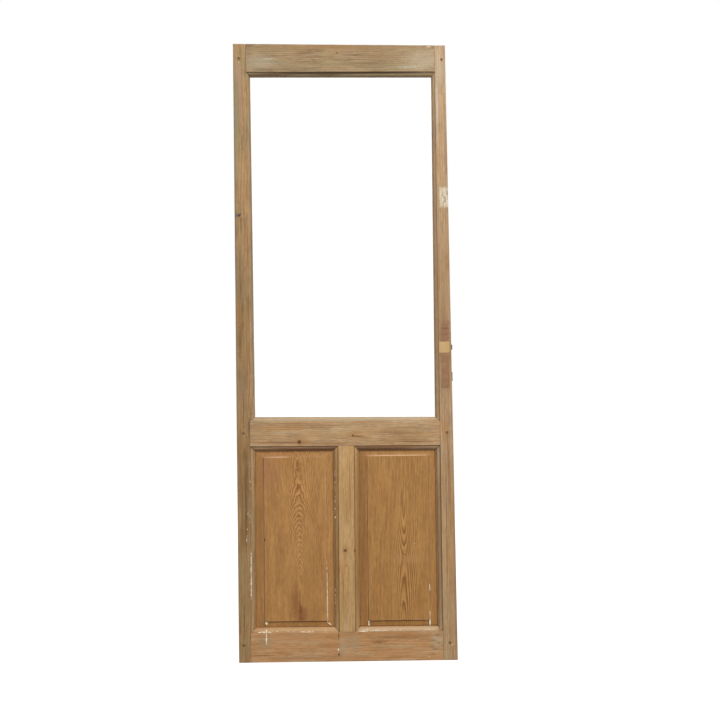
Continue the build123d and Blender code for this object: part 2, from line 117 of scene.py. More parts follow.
class Bench:
    """A node tree under work, with the few tools that the finishes need."""

    def __init__(self, tree: bpy.types.NodeTree) -> None:
        """Clear the tree and keep it."""
        self.tree = tree
        tree.nodes.clear()

    def node(self, kind: str, settings: dict | None = None, sockets: dict | None = None) -> Fitting:
        """Add one node.

        Args:
            kind: the node's Blender type.
            settings: values set on the node itself, before its sockets. "stops" are a ramp's.
            sockets: a number, a tuple or a Wire for each input, by name or number.

        Returns:
            The node, ready to be read.
        """
        made = self.tree.nodes.new(kind)
        for name, value in (settings or {}).items():
            if name == "stops":
                self._set_stops(made.color_ramp, value)
            else:
                setattr(made, name, value)
        for name, value in (sockets or {}).items():
            self._feed(made.inputs[name], value)
        return Fitting(self, made)

    @staticmethod
    def _set_stops(ramp: bpy.types.ColorRamp, stops: Sequence[tuple[float, float]]) -> None:
        """Give a grey ramp its stops, each a position and a level."""
        while len(ramp.elements) < len(stops):
            ramp.elements.new(1.0)
        for element, (position, level) in zip(ramp.elements, stops):
            element.position = position
            element.color = (level, level, level, 1.0)

    def _feed(self, socket: bpy.types.NodeSocket, value: "Paint | Value") -> None:
        """Link a Wire to a socket, or set the socket's own value."""
        if isinstance(value, Wire):
            self.tree.links.new(value.socket, socket)
        elif socket.type == "RGBA" and isinstance(value, tuple):
            socket.default_value = (*value[:3], 1.0)
        else:
            socket.default_value = value

    def maths(self, operation: str, *values: Value) -> Wire:
        """Add a Math node for one operation on values."""
        sockets = dict(enumerate(values))
        return self.node("ShaderNodeMath", {"operation": operation}, sockets)[0]

    def vector(self, x: Value, y: Value, z: Value) -> Wire:
        """Join three values into a vector."""
        return self.node("ShaderNodeCombineXYZ", None, {0: x, 1: y, 2: z})[0]

    def mix(self, share: Value, base: Paint, other: Paint) -> Wire:
        """Blend a second colour over a first by a share from 0 to 1."""
        return self.node("ShaderNodeMix", {"data_type": "RGBA"}, {0: share, 6: base, 7: other})[2]

    def vector_maths(self, operation: str, *values: "Wire | Colour", output: str = "Vector") -> Wire:
        """Add a Vector Math node for one operation on vectors."""
        sockets = dict(enumerate(values))
        return self.node("ShaderNodeVectorMath", {"operation": operation}, sockets)[output]

    def scaled(self, colour: Paint, factor: Value) -> Wire:
        """Multiply a colour or a vector by a factor."""
        settings = {"operation": "SCALE"}
        return self.node("ShaderNodeVectorMath", settings, {"Vector": colour, "Scale": factor})[0]

    def smooth(self, value: Value, low: float, high: float, level: float = 1.0) -> Wire:
        """Ease from 0 at low to a level at high. A low above high eases the other way."""
        ends = (level, 0.0) if low > high else (0.0, level)
        sockets = {"Value": value, "From Min": min(low, high), "From Max": max(low, high)}
        sockets.update({"To Min": ends[0], "To Max": ends[1]})
        return self.node("ShaderNodeMapRange", {"interpolation_type": "SMOOTHSTEP"}, sockets)[0]

    def noise(self, where: Wire, scale: float = 1.0, detail: float = 2.0, rough: float = 0.5) -> Wire:
        """Give soft noise from 0 to 1 with a middle of a half."""
        sockets = {"Vector": where, "Scale": scale, "Detail": detail, "Roughness": rough}
        return self.node("ShaderNodeTexNoise", None, sockets)["Fac"]

    def attribute(self, name: str) -> Wire:
        """Read a number kept on the mesh."""
        return self.node("ShaderNodeAttribute", {"attribute_name": name})["Fac"]

    def parts(self, vector: Wire) -> tuple[Wire, Wire, Wire]:
        """Give a vector's three parts."""
        split = self.node("ShaderNodeSeparateXYZ", None, {0: vector})
        return split[0], split[1], split[2]

    def place(self) -> Wire:
        """Give the shaded point's place on the leaf, in millimetres."""
        return self.scaled(self.node("ShaderNodeTexCoord")["Object"], 1 / MM)

    def facing(self) -> tuple[Wire, Wire, Wire]:
        """Give the three parts of the surface's own direction."""
        return self.parts(self.node("ShaderNodeTexCoord")["Normal"])

    def finish(
        self, colour: Paint, roughness: Value, height: Wire | None = None, depth: float = 0.0, **fixed: float
    ) -> None:
        """End the tree with one principled surface.

        Args:
            colour: the surface's colour.
            roughness: how matte it is, from 0 to 1.
            height: relief from 0 to 1 for the bump, or None.
            depth: how many millimetres the relief's 1 stands for.
            fixed: other sockets of the surface, by their names with underscores.
        """
        sockets: dict = {"Base Color": colour, "Roughness": roughness}
        if height is not None:
            bump = {"Height": height, "Strength": 1.0, "Distance": depth * MM}
            sockets["Normal"] = self.node("ShaderNodeBump", None, bump)[0]
        sockets.update({name.replace("_", " "): value for name, value in fixed.items()})
        surface = self.node("ShaderNodeBsdfPrincipled", None, sockets)
        self.node("ShaderNodeOutputMaterial", None, {"Surface": surface[0]})


def new_material(name: str) -> tuple[bpy.types.Material, Bench]:
    """Make an empty material and the bench to build it on."""
    material = bpy.data.materials.new(name)
    material.use_nodes = True
    return material, Bench(material.node_tree)


def srgb(red: int, green: int, blue: int) -> Colour:
    """Turn a colour as a screen shows it into linear light."""
    parts = [value / 255 for value in (red, green, blue)]
    return tuple(part / 12.92 if part <= 0.04045 else ((part + 0.055) / 1.055) ** 2.4 for part in parts)


# Finishes of the wood


class Grain(Enum):
    """Which way the wood's grain runs."""

    UPRIGHT = "upright"
    ACROSS = "across"


class Shape(Enum):
    """The outline of a mark on a face."""

    ROUND = "round"
    SQUARE = "square"


@dataclass(frozen=True)
class Mark:
    """A stain, a patch or a spot on a face of the leaf, or a band of painted highlight or painted shade.

    The middle and the half sizes are across the leaf and up it, in millimetres.
    """

    middle: Span
    half: Span
    colour: Colour
    strength: float = 1.0
    soft: float = 0.35
    ragged: float = 0.3
    shape: Shape = Shape.ROUND
    streaky: float = 0.0


@dataclass(frozen=True)
class Knot:
    """A knot: where it lies, its radius, and how far it pushes the grain aside."""

    middle: Span
    radius: float
    swirl: float = 9.0
    dark: float = 0.85


@dataclass(frozen=True)
class Tint:
    """Streaks of another colour that follow the grain.

    The streak is its width and its length. The share is how much of the wood has it.
    """

    colour: Colour
    streak: Span
    share: float
    strength: float
    seed: float


@dataclass(frozen=True)
class Layer:
    """A layer of noise drawn out along the grain.

    The cell is its width and its length in millimetres, the shift tells it from the other
    layers, and the weight is how far it lightens and darkens the wood.
    """

    cell: Span
    shift: float
    detail: float = 2.0
    rough: float = 0.5
    weight: float = 0.0


FIBRE = Layer((0.9, 45.0), 1.0, 3.0, 0.6, weight=0.36)
STREAK = Layer((4.2, 62.0), 2.0, 4.0, 0.66, weight=0.58)
CLOUD = Layer((34.0, 150.0), 3.0, weight=0.3)
FADE = Layer((26.0, 120.0), 4.0, 1.0)
SLOW_BEND = Layer((60.0, 420.0), 5.0, 1.0)
QUICK_BEND = Layer((14.0, 90.0), 6.0)
CURL = Layer((9.0, 15.0), 7.0, 1.5)
MOTTLE = Layer((10.0, 24.0), 8.0, 3.0, 0.6, weight=0.42)
DASH = Layer((3.4, 19.0), 12.0, 2.0, 0.7)
SEED_STEP = 3.7
MARK_EDGE_CELL = 6.0
FIELD_DEPTH = 13.0
PINE_RELIEF = 0.28

WEATHERED_PALE: Colour = (0.560, 0.450, 0.320)
ORANGE_BROWN: Colour = (0.400, 0.200, 0.065)
# Brown of the dirty crevices, also used for painted shade in them.
DIRT_AND_SHADE_BROWN: Colour = (0.085, 0.045, 0.018)
KNOT_BROWN: Colour = (0.110, 0.045, 0.015)
END_GRAIN: Colour = (0.150, 0.085, 0.040)


class Board:
    """A board as its shader sees it: a point's place on its faces and grain, and its noise."""

    def __init__(self, bench: Bench, grain: Grain, seed: float) -> None:
        """Read the point's place, and tell across the grain from along it."""
        self.bench = bench
        self.seed = seed
        self.place = bench.place()
        self.x, self.y, self.z = bench.parts(self.place)
        self.upright = grain is Grain.UPRIGHT
        self.across, self.along = (self.x, self.z) if self.upright else (self.z, self.x)

    def noise(self, layer: Layer) -> Wire:
        """Give a layer's noise, from 0 to 1 with a middle of a half."""
        width, length = layer.cell
        start = self.seed * SEED_STEP + layer.shift
        stretched = (self.across / width + start, self.y / width - start, self.along / length + start)
        return self.bench.noise(self.bench.vector(*stretched), detail=layer.detail, rough=layer.rough)

    def from_spot(self, spot: Span) -> tuple[Wire, Wire]:
        """Give how far the point lies from a spot on the face, across the grain and along it."""
        across, along = spot if self.upright else spot[::-1]
        return self.across - across, self.along - along


@dataclass(frozen=True)
class Pine:
    """Old stripped pine: growth rings cut by the board's faces, fibres, weathering, dirty crevices darkened
    further with painted shade, and marks, some of them painted highlights and painted shade.

    The rings are tubes about a pith, so a face near the pith shows arches and a face far from
    it shows straight grain: ring number = distance from the pith / ring width, bent by noise.
    The pith lies at its own depth behind the panels' fields at each place along the grain, and
    the steeper it runs, the closer together its arches are.
    """

    name: str
    grain: Grain
    early: Colour
    late: Colour
    pith: float = 0.0
    depths: tuple[Span, ...] = ((-500.0, 90.0), (2000.0, 80.0))
    ring: float = 5.0
    curl: float = 0.8
    contrast: float = 0.5
    wobble: float = 10.0
    seed: float = 0.0
    tints: tuple[Tint, ...] = ()
    marks: tuple[Mark, ...] = ()
    knots: tuple[Knot, ...] = ()
    # How far the crevices darken: dirty wood and painted shade together.
    dirt_and_shade: float = 0.85
    dashes: float = 0.52

    def build(self) -> bpy.types.Material:
        """Make the material."""
        material, bench = new_material(self.name)
        board = Board(bench, self.grain, self.seed)
        late = self._rings(board)
        fibre, streak, cloud, mottle = (board.noise(layer) for layer in (FIBRE, STREAK, CLOUD, MOTTLE))
        fade = bench.smooth(board.noise(FADE), 0.3, 0.62)
        colour = bench.mix(late * (fade * 0.5 + 0.5) * self.contrast, self.early, self.late)
        for tint in self.tints:
            colour = self._tinted(board, colour, tint)
        light = (board.noise(DASH) - 0.5) * self.dashes + 1.0
        for part, layer in ((fibre, FIBRE), (streak, STREAK), (cloud, CLOUD), (mottle, MOTTLE)):
            light = light + (part - 0.5) * layer.weight
        colour = self._end_grain(board, bench.scaled(colour, light))
        front = bench.smooth(board.y, 2.0, -2.0) * bench.smooth(bench.facing()[1], -0.02, -0.2)
        for knot in self.knots:
            colour = self._knotted(board, colour, knot, (mottle, front))
        colour = self._dirtied_and_shaded(bench, colour, fibre, cloud)
        edge_place = bench.vector(board.x / MARK_EDGE_CELL, board.z / MARK_EDGE_CELL, self.seed)
        rough = bench.noise(edge_place, detail=3.0, rough=0.6) - 0.5
        for mark in self.marks:
            colour = self._marked(board, colour, mark, (front, fibre, rough))
        roughness = 0.66 + (fibre - 0.5) * 0.25 + late * -0.06
        relief = late * 0.45 + fibre * 0.4 + streak * 0.5
        bench.finish(colour, roughness, relief, PINE_RELIEF, Specular_IOR_Level=0.32)
        return material

    def _rings(self, board: Board) -> Wire:
        """Give the late wood of each ring, from 0 to 1."""
        bench = board.bench
        slow, quick, curly = (board.noise(layer) for layer in (SLOW_BEND, QUICK_BEND, CURL))
        bend = (slow - 0.5) * (self.wobble * 2.4) + (quick - 0.5) * (self.wobble * 0.35)
        side = board.across - self.pith + bend
        start, end = self.depths[0][0], self.depths[-1][0]
        deepest = max(deep for _, deep in self.depths)
        stops = [((place - start) / (end - start), deep / deepest) for place, deep in self.depths]
        part_way = (board.along - start) / (end - start)
        ramp = bench.node("ShaderNodeValToRGB", {"stops": stops}, {0: part_way})
        deep = ramp["Color"] * deepest - board.y - FIELD_DEPTH
        deep = deep + (slow - 0.5) * self.wobble + (curly - 0.5) * (self.curl * 4.0)
        distance = bench.maths("SQRT", side * side + deep * deep)
        number = distance / self.ring
        for knot in self.knots:
            number = number + self._swirl(board, knot)
        part = bench.maths("FRACT", number + slow * 2.5)
        return bench.smooth(part, 0.2, 0.86) * bench.smooth(part, 1.0, 0.9)

    def _swirl(self, board: Board, knot: Knot) -> Wire:
        """Push the rings aside round a knot by a bell that is three knots wide."""
        wide = knot.radius * 3.0
        side, up = board.from_spot(knot.middle)
        side, up = side / wide, up / (wide * 2.2)
        return board.bench.maths("POWER", math.e, (side * side + up * up) * -1.0) * (knot.swirl / self.ring)

    @staticmethod
    def _tinted(board: Board, colour: Wire, tint: Tint) -> Wire:
        """Lay one streaky tint over the colour."""
        bench = board.bench
        width, length = tint.streak
        streaks = board.noise(Layer(tint.streak, tint.seed, 4.0, 0.68))
        patch = board.noise(Layer((width * 3.5, length * 0.8), tint.seed + 5.0, 1.0))
        edge = 0.68 - tint.share * 0.36
        share = bench.smooth(streaks, edge - 0.06, edge + 0.09) * bench.smooth(patch, 0.36, 0.56)
        return bench.mix(share * tint.strength, colour, tint.colour)

    @staticmethod
    def _end_grain(board: Board, colour: Wire) -> Wire:
        """Darken the faces that cut across the grain."""
        bench = board.bench
        side_x, _, side_z = bench.facing()
        ends = bench.maths("ABSOLUTE", side_z if board.upright else side_x)
        return bench.mix(bench.smooth(ends, 0.75, 0.95) * 0.62, colour, END_GRAIN)

    @staticmethod
    def _knotted(board: Board, colour: Wire, knot: Knot, wood: tuple[Wire, Wire]) -> Wire:
        """Lay a knot's dark heart and its browner rim, drawn out along the grain, over the colour."""
        bench = board.bench
        mottle, front = wood
        side, up = (part / knot.radius for part in board.from_spot(knot.middle))
        rough = (mottle - 0.5) * 1.6
        distance = bench.maths("SQRT", side * side + up * up)
        drawn = bench.maths("SQRT", side * side + up * up * 0.16) + rough
        rim = bench.smooth(drawn, 2.4, 0.7) * front * (knot.dark * 0.62)
        heart = bench.smooth(distance + rough * 0.5, 1.15, 0.5) * front * knot.dark
        return bench.mix(heart, bench.mix(rim, colour, ORANGE_BROWN), KNOT_BROWN)

    def _dirtied_and_shaded(self, bench: Bench, colour: Wire, fibre: Wire, cloud: Wire) -> Wire:
        """Darken the crevices, which are dirty and also painted with shade, and lighten the rubbed arrises
        kept on the mesh.
        """
        # Painted shade: quirks, grooves and the feet of mouldings darken by the numbers kept on the mesh,
        # standing for dirty wood and for the shade that falls there.
        crevice_dirt_and_shade = bench.attribute("dirt_and_shade") * ((cloud - 0.5) * 0.5 + 1.0)
        dark = bench.mix(bench.smooth(crevice_dirt_and_shade, 0.05, 0.95) * self.dirt_and_shade, colour, DIRT_AND_SHADE_BROWN)
        rubbed = bench.attribute("worn") * bench.smooth(fibre + cloud, 0.75, 1.2)
        return bench.mix(rubbed * 0.45, dark, WEATHERED_PALE)

    @staticmethod
    def _marked(board: Board, colour: Wire, mark: Mark, wood: tuple[Wire, Wire, Wire]) -> Wire:
        """Lay one mark over the colour.

        The place from the mark's middle is measured in half sizes, so the mark's edge is at 1:
        (place - middle) / half = place times 1 / half, less middle / half.
        """
        bench = board.bench
        front, fibre, rough = wood
        (middle_x, middle_z), (half_x, half_z) = mark.middle, mark.half
        shrink, shift = (1 / half_x, 0.0, 1 / half_z), (-middle_x / half_x, 0.0, -middle_z / half_z)
        place = bench.vector_maths("MULTIPLY_ADD", board.place, shrink, shift)
        if mark.shape is Shape.ROUND:
            distance = bench.vector_maths("LENGTH", place, output="Value")
        else:
            side, _, up = bench.parts(bench.vector_maths("ABSOLUTE", place))
            distance = bench.maths("MAXIMUM", side, up)
        distance = bench.maths("MULTIPLY_ADD", rough, mark.ragged * 2.0, distance)
        share = bench.smooth(distance, 1.0 + mark.soft * 0.5, 1.0 - mark.soft, mark.strength) * front
        if mark.streaky:
            share = share * bench.smooth(fibre + rough * 0.6, 0.5 - 0.1 / mark.streaky, 0.5 + 0.08)
        return bench.mix(share, colour, mark.colour)


# Meshes


def made_object(
    name: str, points: np.ndarray, faces: list, layers: dict[str, np.ndarray] | None = None
) -> Thing:
    """Make an object from points in millimetres, with its normals outwards.

    Args:
        name: the object's name.
        points: one row of three numbers for each corner.
        faces: the corner numbers of each face.
        layers: numbers to keep on the corners, by name.

    Returns:
        The linked object, at the origin.
    """
    mesh = bpy.data.meshes.new(name)
    mesh.from_pydata((points * MM).tolist(), [], faces)
    for layer, values in (layers or {}).items():
        kept = mesh.attributes.new(layer, "FLOAT", "POINT")
        kept.data.foreach_set("value", np.ascontiguousarray(values, dtype=np.float32))
    sheet = bmesh.new()
    sheet.from_mesh(mesh)
    bmesh.ops.recalc_face_normals(sheet, faces=sheet.faces)
    sheet.to_mesh(mesh)
    sheet.free()
    thing = bpy.data.objects.new(name, mesh)
    bpy.context.scene.collection.objects.link(thing)
    return thing


def tube_faces(rings: int, corners: int, capped: bool = True, start: int = 0) -> list:
    """List the faces of a closed tube.

    Corner (i, j) of the grid joins (i, j + 1), (i + 1, j + 1) and (i + 1, j), and the last
    corner of a ring joins its first.

    Args:
        rings: how many rings the tube has.
        corners: how many corners each ring has.
        capped: whether one face closes each end.
        start: the number of the tube's first corner.

    Returns:
        The corner numbers of each face.
    """
    i, j = np.meshgrid(np.arange(rings - 1), np.arange(corners), indexing="ij")
    after = (j + 1) % corners
    ring, next_ring = i * corners, (i + 1) * corners
    quads = np.stack((ring + j, ring + after, next_ring + after, next_ring + j), -1)
    faces = (quads.reshape(-1, 4) + start).tolist()
    if capped:
        last = start + (rings - 1) * corners
        faces.append(list(range(start + corners - 1, start - 1, -1)))
        faces.append(list(range(last, last + corners)))
    return faces


def grid_faces(number: np.ndarray) -> np.ndarray:
    """List the faces between the points of a grid, from the grid of their corner numbers."""
    return np.stack((number[:-1, :-1], number[1:, :-1], number[1:, 1:], number[:-1, 1:]), -1).reshape(-1, 4)


def smooth_shaded(thing: Thing, angle: float) -> None:
    """Shade a piece smooth, but keep edges sharper than the angle hard."""
    mesh = thing.data
    mesh.polygons.foreach_set("use_smooth", np.ones(len(mesh.polygons), dtype=bool))
    mesh.set_sharp_from_angle(angle=math.radians(angle))


def prism(name: str, outline: Sequence[Span], front: float, back: float) -> Thing:
    """Make a prism from an outline across and up the leaf, between two depths."""
    flat = np.array(outline, dtype=float)
    ends = [np.column_stack((flat[:, 0], np.full(len(flat), y), flat[:, 1])) for y in (front, back)]
    return made_object(name, np.concatenate(ends), tube_faces(2, len(flat)))


def block(name: str, x_range: Sequence[float], y_range: Span, z_range: Span) -> Thing:
    """Make a block to cut or to join with."""
    (left, right), (low, high) = x_range, z_range
    return prism(name, [(left, low), (right, low), (right, high), (left, high)], *y_range)


def worked(thing: Thing, tools: Tools) -> Thing:
    """Cut solids out of a piece, or join them to it, and leave one plain mesh.

    Args:
        thing: the piece to work.
        tools: what to do, DIFFERENCE or UNION, and the solid to do it with.

    Returns:
        The piece with its new mesh.
    """
    for operation, tool in tools:
        step = thing.modifiers.new(tool.name, "BOOLEAN")
        step.operation = operation
        step.object = tool
        step.solver = "MANIFOLD"
    bpy.context.view_layer.update()
    graph = bpy.context.evaluated_depsgraph_get()
    shown = thing.evaluated_get(graph)
    mesh = bpy.data.meshes.new_from_object(shown, preserve_all_data_layers=True, depsgraph=graph)
    thing.modifiers.clear()
    thing.data = mesh
    for _, tool in tools:
        bpy.data.objects.remove(tool)
    return thing


def ripple(points: np.ndarray, lengths: tuple[float, float, float], seed: int, waves: int = 12) -> np.ndarray:
    """Give smooth unevenness from -1 to 1 at points.

    It is a sum of sine waves whose directions and phases are drawn from the seed, each wave as
    long as lengths say along the three axes.
    """
    draw = np.random.default_rng(seed)
    turns = draw.normal(size=(waves, 3)) * 2 * math.pi / np.array(lengths)
    phases = draw.uniform(0, 2 * math.pi, waves)
    return np.tanh(np.sin(points @ turns.T * 0.6 + phases).sum(-1) / math.sqrt(waves))


# The leaf's lines


@dataclass(frozen=True)
class LeafLines:
    """The leaf's planed outside, and the lines that its members meet on."""

    width: float = 699.0
    height: float = 1976.0
    left_foot_trim: float = 5.5
    right_top_trim: float = 16.0
    top_fall: float = 10.0
    left_joint: Line = ((0.0, 760.0, 1976.0), (-306.5, -304.0, -308.8))
    right_joint: Line = ((0.0, 682.0, 1925.0), (303.8, 302.0, 299.0))
    top_joint: Line = ((-310.0, 303.0), (1884.2, 1879.9))
    middle_high: Line = ((-310.0, 303.0), (762.3, 756.7))
    middle_low: Line = ((-310.0, 303.0), (682.6, 680.4))
    bottom_joint: Line = ((-310.0, 303.0), (92.9, 91.2))
    muntin_left: Line = ((92.0, 682.0), (-25.0, -23.6))
    muntin_right: Line = ((92.0, 682.0), (25.0, 26.4))

    @property
    def half(self) -> float:
        """Half of the leaf's width."""
        return self.width / 2

    @property
    def left_edge(self) -> Line:
        """The planed left edge: its heights and its places across the leaf."""
        return ((0.0, self.height), (-self.half + self.left_foot_trim, -self.half))

    @property
    def right_edge(self) -> Line:
        """The planed right edge."""
        return ((0.0, self.height - self.top_fall), (self.half, self.half - self.right_top_trim))

    @property
    def top_edge(self) -> Line:
        """The planed top edge: its places across the leaf and its heights."""
        return ((-self.half, self.half - self.right_top_trim), (self.height, self.height - self.top_fall))


def on_line(line: Line, where: Level) -> Level:
    """Read a line at one place or many, and carry its last runs on past both ends."""
    at, value = np.array(line[0]), np.array(line[1])
    inside = np.interp(where, at, value)
    low = (value[1] - value[0]) / (at[1] - at[0]) * np.minimum(where - at[0], 0)
    high = (value[-1] - value[-2]) / (at[-1] - at[-2]) * np.maximum(where - at[-1], 0)
    return inside + low + high


# Members with stuck mouldings


class Stuck(Enum):
    """What is worked on a stretch of a member's side."""

    GLAZED = "glazed"
    PANEL = "panel"


@dataclass(frozen=True)
class Moulding:
    """A stuck moulding: a quirk, an ovolo, a fillet and the lip behind it."""

    width: float
    lip: float
    quirk_width: float = 1.5
    quirk_depth: float = 2.0
    ovolo_depth: float = 7.5
    fillet: float = 2.5
    worn: float = 0.5
    ovolo_points: int = 11

    def section(self) -> np.ndarray:
        """Give the section's points.

        The ovolo is a quarter of an ellipse: out = quirk + width times sine, deep = quirk depth
        + ovolo depth times (1 - cosine).

        Returns:
            A row for each point: how far out from the joint line, how deep below the face, how
            dirty and how darkened by painted shade, and how rubbed.
        """
        turn = np.linspace(0, math.pi / 2, self.ovolo_points)
        foot = self.width - self.fillet
        low = self.quirk_depth + self.ovolo_depth
        out = self.quirk_width + (foot - self.quirk_width) * np.sin(turn)
        deep = self.quirk_depth + self.ovolo_depth * (1 - np.cos(turn))
        # Dirty and painted shade: darkest in the quirk and at the ovolo's foot, lightest on its round.
        dirt_and_shade = np.interp(turn, (0, 0.25, 1.1, 1.5), (1.0, 0.12, 0.05, 0.75))
        ovolo = np.column_stack((out, deep, dirt_and_shade, np.full_like(out, 0.2)))
        edge = self.width - self.worn
        return np.array(
            [
                (0.0, self.quirk_depth - 0.1, 1.0, 0.0),
                (self.quirk_width * 0.6, self.quirk_depth + 0.1, 1.0, 0.0),
                *ovolo.tolist(),
                (foot + 0.4, low, 0.8, 0.0),
                (edge, low, 0.1, 0.6),
                (self.width - 0.15, low + 0.15, 0.1, 0.8),
                (self.width, low + self.worn, 0.1, 0.6),
                (self.width, self.lip, 0.7, 0.0),
                (0.0, self.lip, 1.0, 0.0),
            ]
        )


MOULDINGS = {
    Stuck.GLAZED: Moulding(width=14.0, lip=17.0),
    Stuck.PANEL: Moulding(width=15.0, lip=14.75),
}
GROOVE_HALF = 5.25
JOINT_GAP = 0.3


@dataclass(frozen=True)
class Zone:
    """A stretch of a side that carries a moulding.

    The spread is how wide the moulding is at the start and the end, as a share of its drawn
    width, and the mitre is the same for the moulding that it meets there.
    """

    kind: Stuck
    start: float
    end: float
    spread: Span = (1.0, 1.0)
    mitre: Span = (1.0, 1.0)
    # How dark this moulding's crevices are painted: dirty wood plus painted shade, heavier on mouldings that
    # face down or to the left, away from the light.
    soil_and_shade: float = 1.0


@dataclass(frozen=True)
class Nick:
    """A knock on an arris: its place along the run, how long it is and how deep."""

    place: float
    length: float
    depth: float


@dataclass(frozen=True)
class Side:
    """One long side of a member: its line, the mouldings on it, and how worn its arris is."""

    line: Line
    zones: tuple[Zone, ...] = ()
    arris: float = 0.5
    worn_by: float = 0.25
    nicks: tuple[Nick, ...] = ()

    def arris_radius(self, run: np.ndarray, seed: int) -> np.ndarray:
        """Give the arris's rounding along the run, uneven and larger at each nick."""
        along = np.column_stack((run, run * 0, run * 0))
        slow, quick = ripple(along, (90.0, 1.0, 1.0), seed), ripple(along, (25.0, 1.0, 1.0), seed + 1)
        uneven = slow * 0.6 + quick * 0.4
        radius = self.arris + self.worn_by * (uneven + 0.4)
        for nick in self.nicks:
            radius = radius + nick.depth * np.exp(-(((run - nick.place) / nick.length) ** 2))
        return np.maximum(radius, 0.25)


@dataclass
class Columns:
    """Corners of a member's section at every station of its run, before they are placed.

    Each corner has six values, the same at all stations or given for each: how far out it stands
    from the joint line, its depth, its place along the run, its share of the way from the near
    side to the far one, how dirty and how darkened by painted shade it is, and how rubbed.
    """

    rows: list[list[np.ndarray]] = field(default_factory=list)

    def add(
        self, out: Level, deep: Level, run: np.ndarray, share: float, dirt_and_shade: Level = 0, worn: Level = 0
    ) -> None:
        """Add one corner."""
        values = (out, deep, run, share, dirt_and_shade, worn)
        self.rows.append([np.broadcast_to(np.asarray(value, dtype=float), run.shape) for value in values])

    def turn_round(self, first: int) -> None:
        """Put the corners from the given one on in the opposite order."""
        self.rows[first:] = self.rows[first:][::-1]

    def stacked(self) -> list[np.ndarray]:
        """Give each value as an array of stations by corners."""
        return [np.stack(values, 1) for values in zip(*self.rows)]


